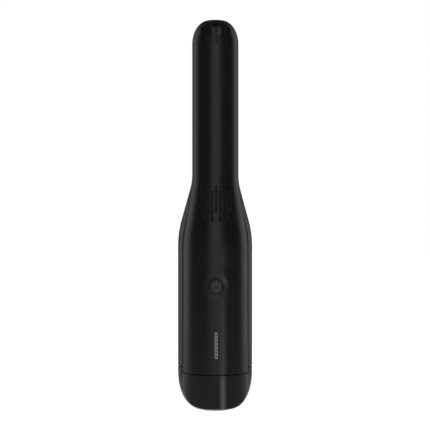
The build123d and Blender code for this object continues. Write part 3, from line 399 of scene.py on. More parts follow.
def shell(name, side, low_z):
    """A whole shell: the outside with its slots and openings, walls and inside."""
    top_s = DOME_Z + DOME_RUN + CAP_RUN
    outlines = [(capsule_outline(*spot), in_capsule(*spot), in_capsule(*spot, 0.5)) for spot in slot_places()]
    if side < 0:
        hole_r = BUTTON_R + BUTTON_GAP
        button = (0, BUTTON_Z - hole_r, BUTTON_Z + hole_r + 1e-3, 2 * hole_r)
        turn = np.linspace(0, 2 * math.pi, 73)[:-1]
        ring = np.stack([hole_r * np.cos(turn), BUTTON_Z + hole_r * np.sin(turn)], -1)
        outlines.append((ring, in_capsule(*button), in_capsule(*button, 0.3)))
        gauge = (0, GAUGE_LOW_Z, GAUGE_TOP_Z, GAUGE_W)
        outlines.append((capsule_outline(*gauge), in_capsule(*gauge), in_capsule(*gauge, 0.5)))
    else:
        outlines.append(release_opening())

    us = np.linspace(-ARC, ARC, 73)
    steps = [np.arange(low_z, 168, 2.4), np.arange(168, 212, 1.2), np.arange(212, 329, 2.4),
             np.arange(329, top_s, 1.1), [top_s]]
    rows = np.concatenate(steps)
    grid = np.stack(np.meshgrid(us[1:-1], rows[1:-1]), -1).reshape(-1, 2)

    def skin(flat):
        return shell_skin(side, flat[..., 0] / ARC, flat[..., 1])

    if side < 0:    # finer points over the dish
        fine = []
        for radius in (7.6, 8.4, 9.2, 9.9, 10.4, 10.6, 10.8, 10.97, 11.1, 11.5):
            turn = np.linspace(0, 2 * math.pi, 91)[:-1] + radius
            fine.append(np.stack([radius * np.cos(turn), BUTTON_Z + radius * np.sin(turn)], -1))
        placed = skin(grid)
        away = np.hypot(placed[:, 0], placed[:, 2] - BUTTON_Z) > DISH_R + 1.2
        grid = np.concatenate([grid[away], pattern_place(side, np.concatenate(fine))])

    placed = skin(grid)[:, [0, 2]]
    clear = np.ones(len(grid), bool)
    for _, _, near in outlines:
        clear &= ~near(placed)
    grid = grid[clear]

    edge_loop = np.concatenate([
        np.stack([us, 0 * us + low_z], -1), np.stack([0 * rows[1:-1] + ARC, rows[1:-1]], -1),
        np.stack([us[::-1], 0 * us + top_s], -1), np.stack([0 * rows[1:-1] - ARC, rows[1:-1][::-1]], -1)])
    loops = [edge_loop] + [pattern_place(side, outline) for outline, _, _ in outlines]

    def keep(centres):
        place = skin(centres)[:, [0, 2]]
        outside = np.ones(len(centres), bool)
        for _, inside, _ in outlines:
            outside &= ~inside(place)
        return outside

    flat, faces = flat_mesh(grid, loops, keep)
    if side > 0:
        faces = faces[:, ::-1]
    points = skin(flat)
    normals = -side * normals_of(skin, flat)
    inner = points - normals * WALL

    def lip(at):
        gap = np.interp(at[:, 2], SPLIT[0], SPLIT[2]) - SHELL_GAP / 2
        line = np.abs(at[:, 1] - np.interp(at[:, 2], SPLIT[0], SPLIT[1])) < GROOVE_W
        middle = (at[:, 2] > low_z + 0.5) & (at[:, 2] < HEIGHT - 0.05)
        return np.where(line & middle, gap, 0.03)

    return solid_from_sheet(name, points, normals, faces, inner, lip, np.array([0.0, side, 0.0]))


def release_opening():
    """Opening across the back for the release button: outline and tests."""
    high, wide = RELEASE_H + 2 * RELEASE_GAP, RELEASE_W + 2 * RELEASE_GAP
    upright = (RELEASE_Z, -wide / 2, wide / 2, high)
    outline = capsule_outline(*upright)[:, ::-1]

    def swapped(test):
        return lambda points: test(points[:, ::-1])

    return outline, swapped(in_capsule(*upright)), swapped(in_capsule(*upright, 0.5))


# ---------------------------------------------------------------- dust cup
CUP_TOP_Z = 36.0                       # the cup's outline is upright from here
CUP_OUTLINE = ((8.0, 0.0), (23.0, 0.0), (BODY_A, 9.0), (BODY_A, CUP_TOP_Z))
CREASE = ((6.0, 3.5), (25.0, 3.5), (30.1, 9.5), (30.1, 34.0))      # lower edge of the front strip
CUP_SPAN = 75.0                        # length given to the bowl in the flat pattern
WALL_SPAN = 6.0                        # and the width to its upright side, in degrees
CREASE_R = 0.7
CUP_EDGE_R = 0.3                       # rounding of the cup's other edges
WING_SEAM = 1.0                        # open line between the shells and the cup's sides
WALL_RISE = WING_END_Z - WING_SEAM - CUP_TOP_Z
STRIP_TOP_Z = STRIP_END_Z - SEAM


def outline_reach(curve, inset):
    """Distance from (0, CUP_TOP_Z) to an outline, against the angle from straight down."""
    t = np.linspace(0, 1, 1500)[:, None]
    p = [np.array(point) for point in curve]
    bend = (1 - t) ** 3 * p[0] + 3 * (1 - t) ** 2 * t * p[1] + 3 * (1 - t) * t ** 2 * p[2] + t ** 3 * p[3]
    line = np.concatenate([[[0.0, curve[0][1]]], bend, [[curve[3][0], CUP_TOP_Z + 0.001]]])
    reach = np.hypot(line[:, 0], CUP_TOP_Z - line[:, 1]) - inset
    angle = np.degrees(np.arctan2(line[:, 0], CUP_TOP_Z - line[:, 1]))
    return lambda beta: np.interp(np.abs(beta), angle, reach)


def cup_skin(flat, inset=0.0):
    """Points on the cup. The first measure is the angle round the front view, from straight down;
    past 90 degrees it climbs the upright side. The second runs back from the crease, and is the
    height up the front strip where it is negative."""
    beta, v = np.clip(flat[..., 0], -90, 90), flat[..., 1]
    climb = (np.abs(flat[..., 0]) - np.abs(beta)) * (WALL_RISE / WALL_SPAN)
    full, crease = outline_reach(CUP_OUTLINE, inset)(beta), outline_reach(CREASE, inset)(beta)
    sine, cosine = np.sin(np.radians(beta)), np.cos(np.radians(beta))
    start = np.arcsin(crease / full)
    crease_x, crease_z = crease * sine, CUP_TOP_Z - crease * cosine
    strip_r = STRIP_R - inset
    crease_y = AXIS_Y - np.sqrt(strip_r ** 2 - crease_x ** 2)
    reach_front = (BODY_Y - crease_y) / np.cos(start)

    def bowl(run):
        turn = start + (math.pi - start) * np.clip(run, 0, CUP_SPAN) / CUP_SPAN
        front = np.cos(turn) >= 0
        square = 2 / (2 + 1.2 * cosine ** 2)          # the heel is squarer than an ellipse
        out = np.where(front, np.sin(turn), np.abs(np.sin(turn)) ** square)
        back = np.where(front, -reach_front * np.cos(turn),
                        (BODY_D - inset) * np.abs(np.cos(turn)) ** square)
        return np.stack([full * out * sine, BODY_Y + back, CUP_TOP_Z - full * out * cosine + climb], -1)

    at = np.stack([crease_x, crease_y, crease_z], -1)
    above = at + np.stack([0 * v, 0 * v, np.maximum(-v, 0)], -1)
    sharp = np.where((v < 0)[..., None], above, bowl(v))
    # round the crease: a parabola between a point up the strip and one down the bowl
    near = np.abs(v) < CREASE_R
    t = ((v + CREASE_R) / (2 * CREASE_R))[..., None]
    up = at + np.array([0, 0, CREASE_R])
    rounded = (1 - t) ** 2 * up + 2 * t * (1 - t) * at + t ** 2 * bowl(0 * v + CREASE_R)
    on_strip = (crease_z < STRIP_TOP_Z - CREASE_R) & (climb == 0)
    return np.where((near & on_strip)[..., None], rounded, sharp)


def cup_hole():
    """The collar's opening in the underside, in the flat pattern, by repeated correction."""
    turn = np.linspace(0, 2 * math.pi, 73)[:-1]
    target = np.stack([COLLAR_HOLE_R * np.sin(turn), COLLAR_HOLE_R * np.cos(turn)], -1)
    flat = np.stack([np.degrees(np.arctan2(target[:, 0], CUP_TOP_Z)), 0 * turn + CUP_SPAN / 3], -1)
    step = 0.05
    for _ in range(25):
        here = cup_skin(flat)[:, :2]
        d_beta = (cup_skin(flat + [step, 0])[:, :2] - here) / step
        d_v = (cup_skin(flat + [0, step])[:, :2] - here) / step
        miss = target - here
        size = d_beta[:, 0] * d_v[:, 1] - d_beta[:, 1] * d_v[:, 0]
        move_beta = (miss[:, 0] * d_v[:, 1] - miss[:, 1] * d_v[:, 0]) / size
        move_v = (d_beta[:, 0] * miss[:, 1] - d_beta[:, 1] * miss[:, 0]) / size
        flat = flat + np.clip(np.stack([move_beta, move_v], -1), -3, 3)
    return flat


def dust_cup():
    betas = np.linspace(-90, 90, 121)
    crease = outline_reach(CREASE, 0)
    height = STRIP_TOP_Z - (CUP_TOP_Z - crease(betas) * np.cos(np.radians(betas)))
    last = betas[height > 0.25].max()
    strip_betas = np.concatenate([[-last], betas[(np.abs(betas) < last - 0.2)], [last]])
    strip_height = STRIP_TOP_Z - (CUP_TOP_Z - crease(strip_betas) * np.cos(np.radians(strip_betas)))

    # where the wing's edge starts beside the front shell
    side_x = CREASE[3][0]
    edge_y = SPLIT_BODY_Y + GROOVE_W / 2
    start = math.asin(side_x / BODY_A)
    edge_turn = math.acos((BODY_Y - edge_y) / BODY_D)
    edge_v = (edge_turn - start) / (math.pi - start) * CUP_SPAN

    half_way = CUP_SPAN * 0.5
    vs = np.concatenate([np.linspace(0, half_way, 34)[1:], np.linspace(half_way, CUP_SPAN, 40)[1:-1]])
    wall_betas = np.linspace(0, WALL_SPAN, 6)[1:]
    top = 90 + WALL_SPAN
    grid = [np.stack(np.meshgrid(betas[1:-1], vs), -1).reshape(-1, 2)]
    for side in (-1, 1):
        upright = np.meshgrid(side * (90 + wall_betas[:-1]), vs[vs > edge_v + 0.3])
        grid.append(np.stack(upright, -1).reshape(-1, 2))
    fine = np.array([-CREASE_R, -CREASE_R / 2, CREASE_R / 2, CREASE_R])
    grid.append(np.stack(np.meshgrid(strip_betas[6:-6], fine), -1).reshape(-1, 2))
    for share in np.linspace(0.06, 0.94, 18):
        tall = strip_height * share
        ok = tall > CREASE_R + 0.4
        grid.append(np.stack([strip_betas[ok], -tall[ok]], -1))
    grid = np.concatenate(grid)
    crease_line = np.stack([strip_betas[1:-1], 0 * strip_betas[1:-1]], -1)

    edge = [np.stack([strip_betas, -strip_height], -1)]
    edge.append(np.array([[last + 0.4, edge_v * 0.5], [last + 0.9, edge_v], [90, edge_v], [top, edge_v]]))
    edge.append(np.stack([0 * vs + top, vs], -1)[vs > edge_v + 0.3])
    edge.append(np.array([[top, CUP_SPAN]]))
    edge.append(np.stack([betas[::-1], 0 * betas + CUP_SPAN], -1))
    edge.append(np.array([[-top, CUP_SPAN]]))
    edge.append(np.stack([0 * vs - top, vs[::-1]], -1)[vs[::-1] > edge_v + 0.3])
    edge.append(np.array([[-top, edge_v], [-90, edge_v], [-last - 0.9, edge_v], [-last - 0.4, edge_v * 0.5]]))
    edge = np.concatenate(edge)
    hole = cup_hole()

    near_hole = np.hypot(*cup_skin(grid)[:, :2].T) < COLLAR_HOLE_R + 0.6
    under = cup_skin(grid)[:, 2] < 6
    grid = grid[~(near_hole & under)]
    grid = np.concatenate([grid, crease_line])

    def keep(centres):
        b, v = np.abs(centres[:, 0]), centres[:, 1]
        below_top = v > -np.interp(b, strip_betas[strip_betas >= 0], strip_height[strip_betas >= 0], right=0)
        wing_edge = np.interp(b, [last, last + 0.4, last + 0.9], [0, edge_v * 0.5, edge_v])
        in_wing = (b < last + 0.4) | (v > wing_edge)
        place = cup_skin(centres)
        in_hole = (np.hypot(place[:, 0], place[:, 1]) < COLLAR_HOLE_R) & (place[:, 2] < 6)
        return below_top & in_wing & ~in_hole

    flat, faces = flat_mesh(grid, [edge, hole], keep)
    faces = faces[:, ::-1]
    points = cup_skin(flat)
    normals = -normals_of(cup_skin, flat, 0.05)
    inner = cup_skin(flat, WALL)
    at_pole = flat[:, 1] > CUP_SPAN - 1e-6
    normals[at_pole] = (0, 1, 0)
    points, normals, inner, faces = weld(points, normals, inner, faces)
    down = np.array([0.0, 0.0, -1.0])
    return solid_from_sheet("dust_cup_bowl", points, normals, faces, inner, None, down, CUP_EDGE_R)


def weld(points, normals, inner, faces):
    """Joins points in one place and drops the faces that this closes up."""
    key = np.round(points / 0.002).astype(np.int64)
    _, first, where = np.unique(key, axis=0, return_index=True, return_inverse=True)
    faces = where.reshape(-1)[faces]
    open_faces = (faces[:, 0] != faces[:, 1]) & (faces[:, 1] != faces[:, 2]) & (faces[:, 2] != faces[:, 0])
    return points[first], normals[first], inner[first], faces[open_faces]


# ---------------------------------------------------------------- small pieces
def strip_y(x):
    """Front of the straight strip, at a place across it."""
    return AXIS_Y - np.sqrt(STRIP_R ** 2 - x ** 2)


def stacked_rings(name, rings):
    """Closed mesh from rings of points, from the middle of the front to the middle of the back."""
    count = len(rings[0])
    here, after = np.arange(count), np.roll(np.arange(count), -1)
    faces = []
    for k in range(len(rings) - 1):
        a, b = k * count, (k + 1) * count
        faces += np.stack([a + here, a + after, b + after, b + here], 1).tolist()
    points = np.concatenate(rings)
    for ring, turned in ((rings[0], False), (rings[-1], True)):
        centre = len(points)
        points = np.concatenate([points, ring.mean(0)[None]])
        base = (len(rings) - 1) * count if turned else 0
        fan = np.stack([base + here, base + after, 0 * here + centre], 1)
        faces += (fan if turned else fan[:, ::-1]).tolist()
    return make_piece(name, points, faces)


def ridge(distance, half_width):
    """Height of a rounded raised line, as a share of its full height."""
    return np.clip(1 - (distance / half_width) ** 2, 0, 1) ** 0.5


SYMBOL_R, SYMBOL_LINE = 3.2, 0.42          # power symbol, raised on the button
SYMBOL_GAP = math.radians(34)
SYMBOL_BAR = (1.3, 4.5)
SYMBOL_RISE, RIM_RISE = 0.3, 0.5
RIM_LINE_R, RIM_LINE = 5.75, 0.75
BUTTON_PROUD = 0.3


def button_y(x, z):
    """Front of the button's face, with its raised rim line."""
    rim = RIM_RISE * ridge(np.hypot(x, z - BUTTON_Z) - RIM_LINE_R, RIM_LINE)
    return strip_y(x) + dish(x, z) - BUTTON_PROUD - rim


def raised_line(name, path):
    """A rounded raised line on the button's face along a path in X and Z."""
    along = np.gradient(path, axis=0)
    along /= np.hypot(along[:, 0], along[:, 1])[:, None]
    turn = np.radians(np.linspace(0, 180, 11))
    across = np.concatenate([np.cos(turn), [-1, 1]]) * SYMBOL_LINE
    rise = np.concatenate([np.sin(turn) * SYMBOL_RISE, [-0.12, -0.12]])
    rings = []
    for spot, way in zip(path, along):
        x = spot[0] + across * way[1]
        z = spot[1] - across * way[0]
        rings.append(np.stack([x, button_y(spot[0], spot[1]) - rise, z], -1))
    return stacked_rings(name, rings)


def power_symbol():
    """Open circle and upright stroke."""
    turn = np.linspace(SYMBOL_GAP, 2 * math.pi - SYMBOL_GAP, 49)
    arc = np.stack([SYMBOL_R * np.sin(turn), BUTTON_Z + SYMBOL_R * np.cos(turn)], -1)
    up = BUTTON_Z + np.linspace(*SYMBOL_BAR, 9)
    stroke = np.stack([0 * up, up], -1)
    return [raised_line("power_symbol_arc", arc), raised_line("power_symbol_stroke", stroke)]


def power_button():
    """Round button in the dish, with a raised rim."""
    side, bevel = 3.4, 0.3
    turn = np.linspace(0, 2 * math.pi, 181)[:-1]
    radii = np.linspace(0.1, BUTTON_R - bevel, 66)

    def face(radius, sink):
        x, z = radius * np.sin(turn), BUTTON_Z + radius * np.cos(turn)
        return np.stack([x, button_y(x, z) + sink, z], -1)

    rings = [face(radius, 0) for radius in radii]
    for b in (30, 60, 90):
        angle = math.radians(b)
        rings.append(face(BUTTON_R - bevel + bevel * math.sin(angle), bevel * (1 - math.cos(angle))))
    edge = rings[-1]
    rings.append(edge + np.array([0, side, 0]))
    rings.append((edge - edge.mean(0)) * [0.5, 0, 0.5] + [0, edge[:, 1].max() + side, BUTTON_Z])
    return stacked_rings("power_button_cap", rings)


def capsule_rings(name, x, low, top, width, face, depth, bevel, level=False):
    """A bar with round ends: face(x, z) gives its front, depth how thick it is. level lays it along X."""
    outline = capsule_outline(x, low, top, width, 0.35)[::-1]
    middle = np.stack([0 * outline[:, 0] + x,
                       np.clip(outline[:, 1], low + width / 2, top - width / 2)], -1)
    away = outline - middle
    rings = []

    def ring_at(share, sink):
        spot = middle + away * share
        across, up = (spot[:, 1], spot[:, 0]) if level else (spot[:, 0], spot[:, 1])
        return np.stack([across, face(across, up) + sink, up], -1)

    flat_share = 1 - bevel / (width / 2)
    for share in np.linspace(0.04, flat_share, 7):
        rings.append(ring_at(share, 0))
    sign = math.copysign(1.0, depth)
    for b in (30, 60, 90):
        angle = math.radians(b)
        share = flat_share + (1 - flat_share) * math.sin(angle)
        rings.append(ring_at(share, sign * bevel * (1 - math.cos(angle))))
    back = rings[-1].copy()
    back[:, 1] = back[:, 1] + depth
    rings.append(back)
    shrunk = back.copy()
    shrunk[:, [0, 2]] = (back[:, [0, 2]] - back[:, [0, 2]].mean(0)) * 0.6 + back[:, [0, 2]].mean(0)
    rings.append(shrunk)
    return stacked_rings(name, rings)


GAUGE_SINK = 0.12
GAUGE_CELLS = 7
CELL_W, CELL_SHARE = 1.3, 0.62


def gauge_bar():
    return capsule_rings("gauge_bar", 0, GAUGE_LOW_Z + 0.12, GAUGE_TOP_Z - 0.12, GAUGE_W - 0.24,
                         lambda x, z: strip_y(x) + GAUGE_SINK, 2.0, 0.2)


def gauge_cells():
    """Dark cells along the gauge, each a small inlay."""
    pitch = (GAUGE_TOP_Z - GAUGE_LOW_Z - 2.4) / GAUGE_CELLS
    cells = []
    for k in range(GAUGE_CELLS):
        low = GAUGE_LOW_Z + 1.2 + (k + (1 - CELL_SHARE) / 2) * pitch
        cells.append(capsule_rings(f"gauge_cell_{k + 1}", 0, low, low + pitch * CELL_SHARE, CELL_W,
                                   lambda x, z: strip_y(x) + GAUGE_SINK - 0.05, 0.3, 0.08))
    return cells


def release_face(x, z):
    """Back of the release button: flush with the body, with level grip ribs."""
    back = BODY_Y + BODY_D * np.sqrt(1 - (x / BODY_A) ** 2)
    ribs = 0.5 - 0.5 * np.cos((z - RELEASE_Z) * 2 * math.pi / 1.6)
    inside = smooth(0, 1.2, RELEASE_H / 2 - 0.9 - np.abs(z - RELEASE_Z))
    return back - 0.1 - 0.35 * ribs * inside


def release_cap():
    wide, high = RELEASE_W / 2, RELEASE_H
    return capsule_rings("release_cap", RELEASE_Z, -wide, wide, high, release_face, -3.0, 0.3, level=True)


# ---------------------------------------------------------------- materials
REFRACTION = 1.5                       # the same for every material


def new_material(name, color, roughness, metallic=0.0, specular=0.5):
    """A material with its numbers on the shader's own sockets, and its node tree and shader."""
    made = bpy.data.materials.new(name)
    made.use_nodes = True
    tree = made.node_tree
    shader = tree.nodes["Principled BSDF"]
    shader.inputs["Base Color"].default_value = (*color, 1)
    shader.inputs["Roughness"].default_value = roughness
    shader.inputs["Metallic"].default_value = metallic
    shader.inputs["Specular IOR Level"].default_value = specular
    shader.inputs["IOR"].default_value = REFRACTION
    return made, tree, shader


def node(tree, kind, inputs=None, **settings):
    made = tree.nodes.new(kind)
    for key, value in settings.items():
        setattr(made, key, value)
    for key, value in (inputs or {}).items():
        socket = made.inputs[key]
        if isinstance(value, bpy.types.NodeSocket):
            tree.links.new(value, socket)
        else:
            socket.default_value = value
    return made


def place(tree, scale=(1, 1, 1)):
    """Coordinates that stay with the piece, in metres times scale."""
    source = node(tree, "ShaderNodeTexCoord").outputs["Object"]
    return node(tree, "ShaderNodeMapping", {"Vector": source, "Scale": scale}).outputs["Vector"]


def noise(tree, size, scale=(1, 1, 1), detail=3.0):
    """Soft noise whose blots are about size metres across."""
    made = node(tree, "ShaderNodeTexNoise",
                {"Vector": place(tree, scale), "Scale": 1 / size, "Detail": detail})
    return made.outputs["Fac"]


def mapped(tree, value, low, high, start=0.3, end=0.7):
    """A value from start..end, spread over low..high."""
    made = node(tree, "ShaderNodeMapRange",
                {"Value": value, "From Min": start, "From Max": end, "To Min": low, "To Max": high})
    return made.outputs["Result"]


def mixed(tree, share, first, second):
    """Two colours or colour sockets mixed by a share."""
    made = node(tree, "ShaderNodeMix", data_type="RGBA")
    for socket, value in zip((made.inputs[0], made.inputs[6], made.inputs[7]), (share, first, second)):
        if isinstance(value, bpy.types.NodeSocket):
            tree.links.new(value, socket)
        else:
            socket.default_value = value if isinstance(value, float) else (*value, 1)
    return made.outputs[2]


def tinted(color, factor):
    return tuple(min(1.0, part * factor) for part in color)


def raise_surface(tree, shader, height, depth):
    """Bump of a given depth in metres, from a height of 0 to 1."""
    made = node(tree, "ShaderNodeBump", {"Height": height, "Distance": depth, "Strength": 1.0})
    tree.links.new(made.outputs["Normal"], shader.inputs["Normal"])


def moulded(name, color, roughness, grain=0.00035, depth=0.00001, vary=0.12, rough_vary=0.04, specular=0.5):
    """Moulded plastic: a fine spark-eroded grain, uneven colour and handling wear in the sheen."""
    made, tree, shader = new_material(name, color, roughness, specular=specular)
    blots = noise(tree, 0.03)
    share = mapped(tree, blots, 0.0, 1.0)
    tree.links.new(mixed(tree, share, tinted(color, 1 - vary), tinted(color, 1 + vary)),
                   shader.inputs["Base Color"])
    wear = noise(tree, 0.012, detail=4.0)
    tree.links.new(mapped(tree, wear, roughness - rough_vary, roughness + rough_vary),
                   shader.inputs["Roughness"])
    raise_surface(tree, shader, noise(tree, grain, detail=2.0), depth)
    return made


def glossy_cup():
    """Polished, nearly opaque smoked plastic: faint swirl in the polish and a few dust specks."""
    color = (0.006, 0.006, 0.0062)
    made, tree, shader = new_material("cup_gloss", color, 0.08)
    specks = node(tree, "ShaderNodeTexVoronoi", {"Vector": place(tree), "Scale": 420.0}).outputs["Distance"]
    dust = mapped(tree, specks, 1.0, 0.0, 0.03, 0.08)
    tree.links.new(mixed(tree, dust, color, (0.03, 0.03, 0.03)), shader.inputs["Base Color"])
    swirl = noise(tree, 0.006, (1, 1, 0.3), 5.0)
    tree.links.new(mapped(tree, swirl, 0.06, 0.11), shader.inputs["Roughness"])
    raise_surface(tree, shader, noise(tree, 0.02, detail=1.0), 0.00003)
    return made


def metal(name, color, roughness, stretch=(1, 1, 0.05), grain=0.0004):
    """Drawn or turned metal: fine lines along one direction and duller patches."""
    made, tree, shader = new_material(name, color, roughness, metallic=1.0)
    lines = noise(tree, grain, stretch, 3.0)
    tree.links.new(mixed(tree, mapped(tree, lines, 0.0, 1.0), tinted(color, 0.82), tinted(color, 1.08)),
                   shader.inputs["Base Color"])
    tree.links.new(mapped(tree, noise(tree, 0.004), roughness - 0.06, roughness + 0.1),
                   shader.inputs["Roughness"])
    raise_surface(tree, shader, lines, 0.00001)
    return made


def rubber(name, color):
    """Soft rubber: dull, with a powdery bloom and a faint grain."""
    made, tree, shader = new_material(name, color, 0.62, specular=0.35)
    bloom = noise(tree, 0.005, detail=4.0)
    tree.links.new(mixed(tree, mapped(tree, bloom, 0.0, 1.0), color, tinted(color, 1.5)),
                   shader.inputs["Base Color"])
    tree.links.new(mapped(tree, bloom, 0.55, 0.7), shader.inputs["Roughness"])
    raise_surface(tree, shader, noise(tree, 0.0004), 0.00002)
    return made


def open_foam():
    """Open-cell foam: small pores whose floors are darkened by painted shade."""
    color = (0.035, 0.035, 0.037)
    made, tree, shader = new_material("open_foam", color, 0.9, specular=0.2)
    pores = node(tree, "ShaderNodeTexVoronoi", {"Vector": place(tree), "Scale": 1100.0}).outputs["Distance"]
    wall_share = mapped(tree, pores, 0.0, 1.0, 0.1, 0.7)
    # painted shade: the pore floors are darkened and the walls between them lightened, following the bump's
    # hollows
    tree.links.new(mixed(tree, wall_share, tinted(color, 0.25), tinted(color, 1.7)),
                   shader.inputs["Base Color"])
    tree.links.new(mapped(tree, noise(tree, 0.003), 0.85, 0.95), shader.inputs["Roughness"])
    raise_surface(tree, shader, pores, 0.0004)
    return made


def filter_paper():
    """Filter paper: matted fibres, greyed a little by dust."""
    color = (0.82, 0.81, 0.76)
    made, tree, shader = new_material("filter_paper", color, 0.85, specular=0.3)
    fibres = noise(tree, 0.0006, (1, 1, 0.25), 6.0)
    dusty = noise(tree, 0.008, detail=4.0)
    paper = mixed(tree, mapped(tree, fibres, 0.0, 1.0), tinted(color, 0.88), color)
    tree.links.new(mixed(tree, mapped(tree, dusty, 0.0, 0.35, 0.45, 0.75), paper, (0.42, 0.4, 0.36)),
                   shader.inputs["Base Color"])
    tree.links.new(mapped(tree, fibres, 0.8, 0.92), shader.inputs["Roughness"])
    raise_surface(tree, shader, fibres, 0.00005)
    return made


def circuit_board():
    """Solder mask over copper tracks, with rows of bare pads."""
    mask = (0.012, 0.11, 0.045)
    made, tree, shader = new_material("circuit_board", mask, 0.3)
    bricks = node(tree, "ShaderNodeTexBrick", {"Vector": place(tree), "Scale": 260.0, "Mortar Size": 0.09,
                                               "Mortar Smooth": 0.2, "Brick Width": 0.9, "Row Height": 0.4})
    tracks = bricks.outputs["Fac"]
    tree.links.new(mixed(tree, tracks, mask, tinted(mask, 2.2)), shader.inputs["Base Color"])
    tree.links.new(mapped(tree, noise(tree, 0.003), 0.25, 0.38), shader.inputs["Roughness"])
    raise_surface(tree, shader, tracks, 0.00003)
    return made


def shrink_sleeve():
    """Shrunk plastic sleeve: soft wrinkles round the cell, with painted shade in their folds, and an uneven
    gloss.
    """
    color = (0.03, 0.16, 0.34)
    made, tree, shader = new_material("shrink_sleeve", color, 0.32)
    wrinkles = noise(tree, 0.004, (1, 1, 2.5), 3.0)
    # painted shade: the colour is darker in the wrinkles' folds and lighter on their crests
    tree.links.new(mixed(tree, mapped(tree, wrinkles, 0.0, 1.0), tinted(color, 0.85), tinted(color, 1.15)),
                   shader.inputs["Base Color"])
    tree.links.new(mapped(tree, noise(tree, 0.01), 0.26, 0.4), shader.inputs["Roughness"])
    raise_surface(tree, shader, wrinkles, 0.0002)
    return made


def copper_winding():
    """Enamelled wire, wound turn by turn, with painted shade in the grooves between turns."""
    color = (0.62, 0.26, 0.11)
    made, tree, shader = new_material("copper_winding", color, 0.3, metallic=1.0)
    turns = node(tree, "ShaderNodeTexWave", {"Vector": place(tree), "Scale": 400.0, "Distortion": 1.5,
                                             "Detail": 1.0}, bands_direction="Z").outputs["Fac"]
    # painted shade: the colour falls to about a third in the grooves between turns, where the bump is lowest
    tree.links.new(mixed(tree, turns, tinted(color, 0.35), tinted(color, 1.2)), shader.inputs["Base Color"])
    tree.links.new(mapped(tree, noise(tree, 0.002), 0.25, 0.4), shader.inputs["Roughness"])
    raise_surface(tree, shader, turns, 0.0003)
    return made


def punched_screen():
    """Black sheet with fine round holes, drawn as near-black discs of painted shade with a dip in the bump.
    """
    color = (0.02, 0.02, 0.021)
    made, tree, shader = new_material("punched_screen", color, 0.45)
    holes = node(tree, "ShaderNodeTexVoronoi", {"Vector": place(tree), "Scale": 900.0, "Randomness": 0.0})
    # painted shade: the holes are near-black discs in the colour, standing in for the dark behind real
    # openings
    open_share = mapped(tree, holes.outputs["Distance"], 1.0, 0.0, 0.28, 0.36)
    tree.links.new(mixed(tree, open_share, color, (0.001, 0.001, 0.001)), shader.inputs["Base Color"])
    tree.links.new(mapped(tree, noise(tree, 0.005), 0.4, 0.5), shader.inputs["Roughness"])
    raise_surface(tree, shader, mapped(tree, open_share, 1.0, 0.0, 0.0, 1.0), 0.0004)
    return made


def gauge_light():
    """Light grey diffuser: milky, with a faint cloudiness and a satin face."""
    color = (0.3, 0.305, 0.31)
    made, tree, shader = new_material("gauge_light", color, 0.38)
    cloud = noise(tree, 0.002, detail=3.0)
    tree.links.new(mixed(tree, mapped(tree, cloud, 0.0, 1.0), tinted(color, 0.9), tinted(color, 1.1)),
                   shader.inputs["Base Color"])
    tree.links.new(mapped(tree, noise(tree, 0.001), 0.32, 0.45), shader.inputs["Roughness"])
    raise_surface(tree, shader, noise(tree, 0.0004), 0.000008)
    return made


FINISHES = {
    "shell_black": moulded("shell_soft_black", (0.0042, 0.0042, 0.0044), 0.22),
    "cup_black": glossy_cup(),
    "button_black": moulded("button_satin_black", (0.0055, 0.0055, 0.0057), 0.2, 0.0003, 0.000004),
    "gauge_light": gauge_light(),
    "inner_black": moulded("inner_grey", (0.018, 0.018, 0.019), 0.6, 0.0006, 0.00003, 0.2, 0.08, 0.12),
    "seal_rubber": rubber("seal_rubber", (0.012, 0.012, 0.012)),
    "steel": metal("plain_steel", (0.55, 0.55, 0.56), 0.3),
    "filter_media": filter_paper(),
    "foam": open_foam(),
    "fan_plastic": moulded("fan_white", (0.72, 0.72, 0.69), 0.4, 0.0005, 0.00002, 0.06, 0.06),
    "motor_steel": metal("drawn_can", (0.48, 0.48, 0.5), 0.36, (1, 1, 0.02), 0.0008),
    "copper": copper_winding(),
    "magnet": metal("sintered_magnet", (0.15, 0.15, 0.16), 0.55, (1, 1, 1), 0.0006),
    "board_green": circuit_board(),
    "cell_wrap": shrink_sleeve(),
    "nickel": metal("nickel_strip", (0.66, 0.64, 0.6), 0.28, (1, 0.05, 1), 0.0005),
    "lead_sleeve": rubber("lead_sleeve", (0.33, 0.02, 0.02)),
    "led_white": moulded("led_white", (0.85, 0.85, 0.8), 0.25, 0.0005, 0.00001, 0.05, 0.05),
}
SLOT_OF = {part["node"]: part["material_slot"] for part in record["subparts"]}


def finish_cad_nodes():
    """Every CAD node that stays gets its slot's finish."""
    for name, part in frame["nodes"].items():
        finish = punched_screen() if name == "vent_screen" else FINISHES[SLOT_OF[name]]
        if not part.data.materials:
            part.data.materials.append(finish)
        for place_in_mesh in part.material_slots:
            place_in_mesh.material = finish


def build_pieces():
    black, gloss = FINISHES["shell_black"], FINISHES["cup_black"]
    front = shell("front_shell_skin", -1, STRIP_END_Z)
    finish_piece(front, "main_body", black, "shell_black", "front_shell")
    rear = shell("rear_shell_skin", 1, WING_END_Z)
    finish_piece(rear, "main_body", black, "shell_black", "rear_shell")
    finish_piece(dust_cup(), "dust_cup", gloss, "cup_black", "dust_cup")
    finish_piece(power_button(), "power_button", FINISHES["button_black"], "button_black", "power_button")
    # painted highlight: the symbol's lighter grey stands in for the light its raised lines catch on the black
    # button
    symbol_highlight_finish = moulded("symbol_painted_highlight", (0.09, 0.09, 0.092), 0.35, 0.0003, 0.000004)
    for line in power_symbol():
        finish_piece(line, "power_button", symbol_highlight_finish, "button_black")
    finish_piece(release_cap(), "release_button", FINISHES["button_black"], "button_black", "release_button")
    finish_piece(gauge_bar(), "main_body", FINISHES["gauge_light"], "gauge_light", "charge_indicator")
    for cell in gauge_cells():
        finish_piece(cell, "main_body", FINISHES["button_black"], "button_black")


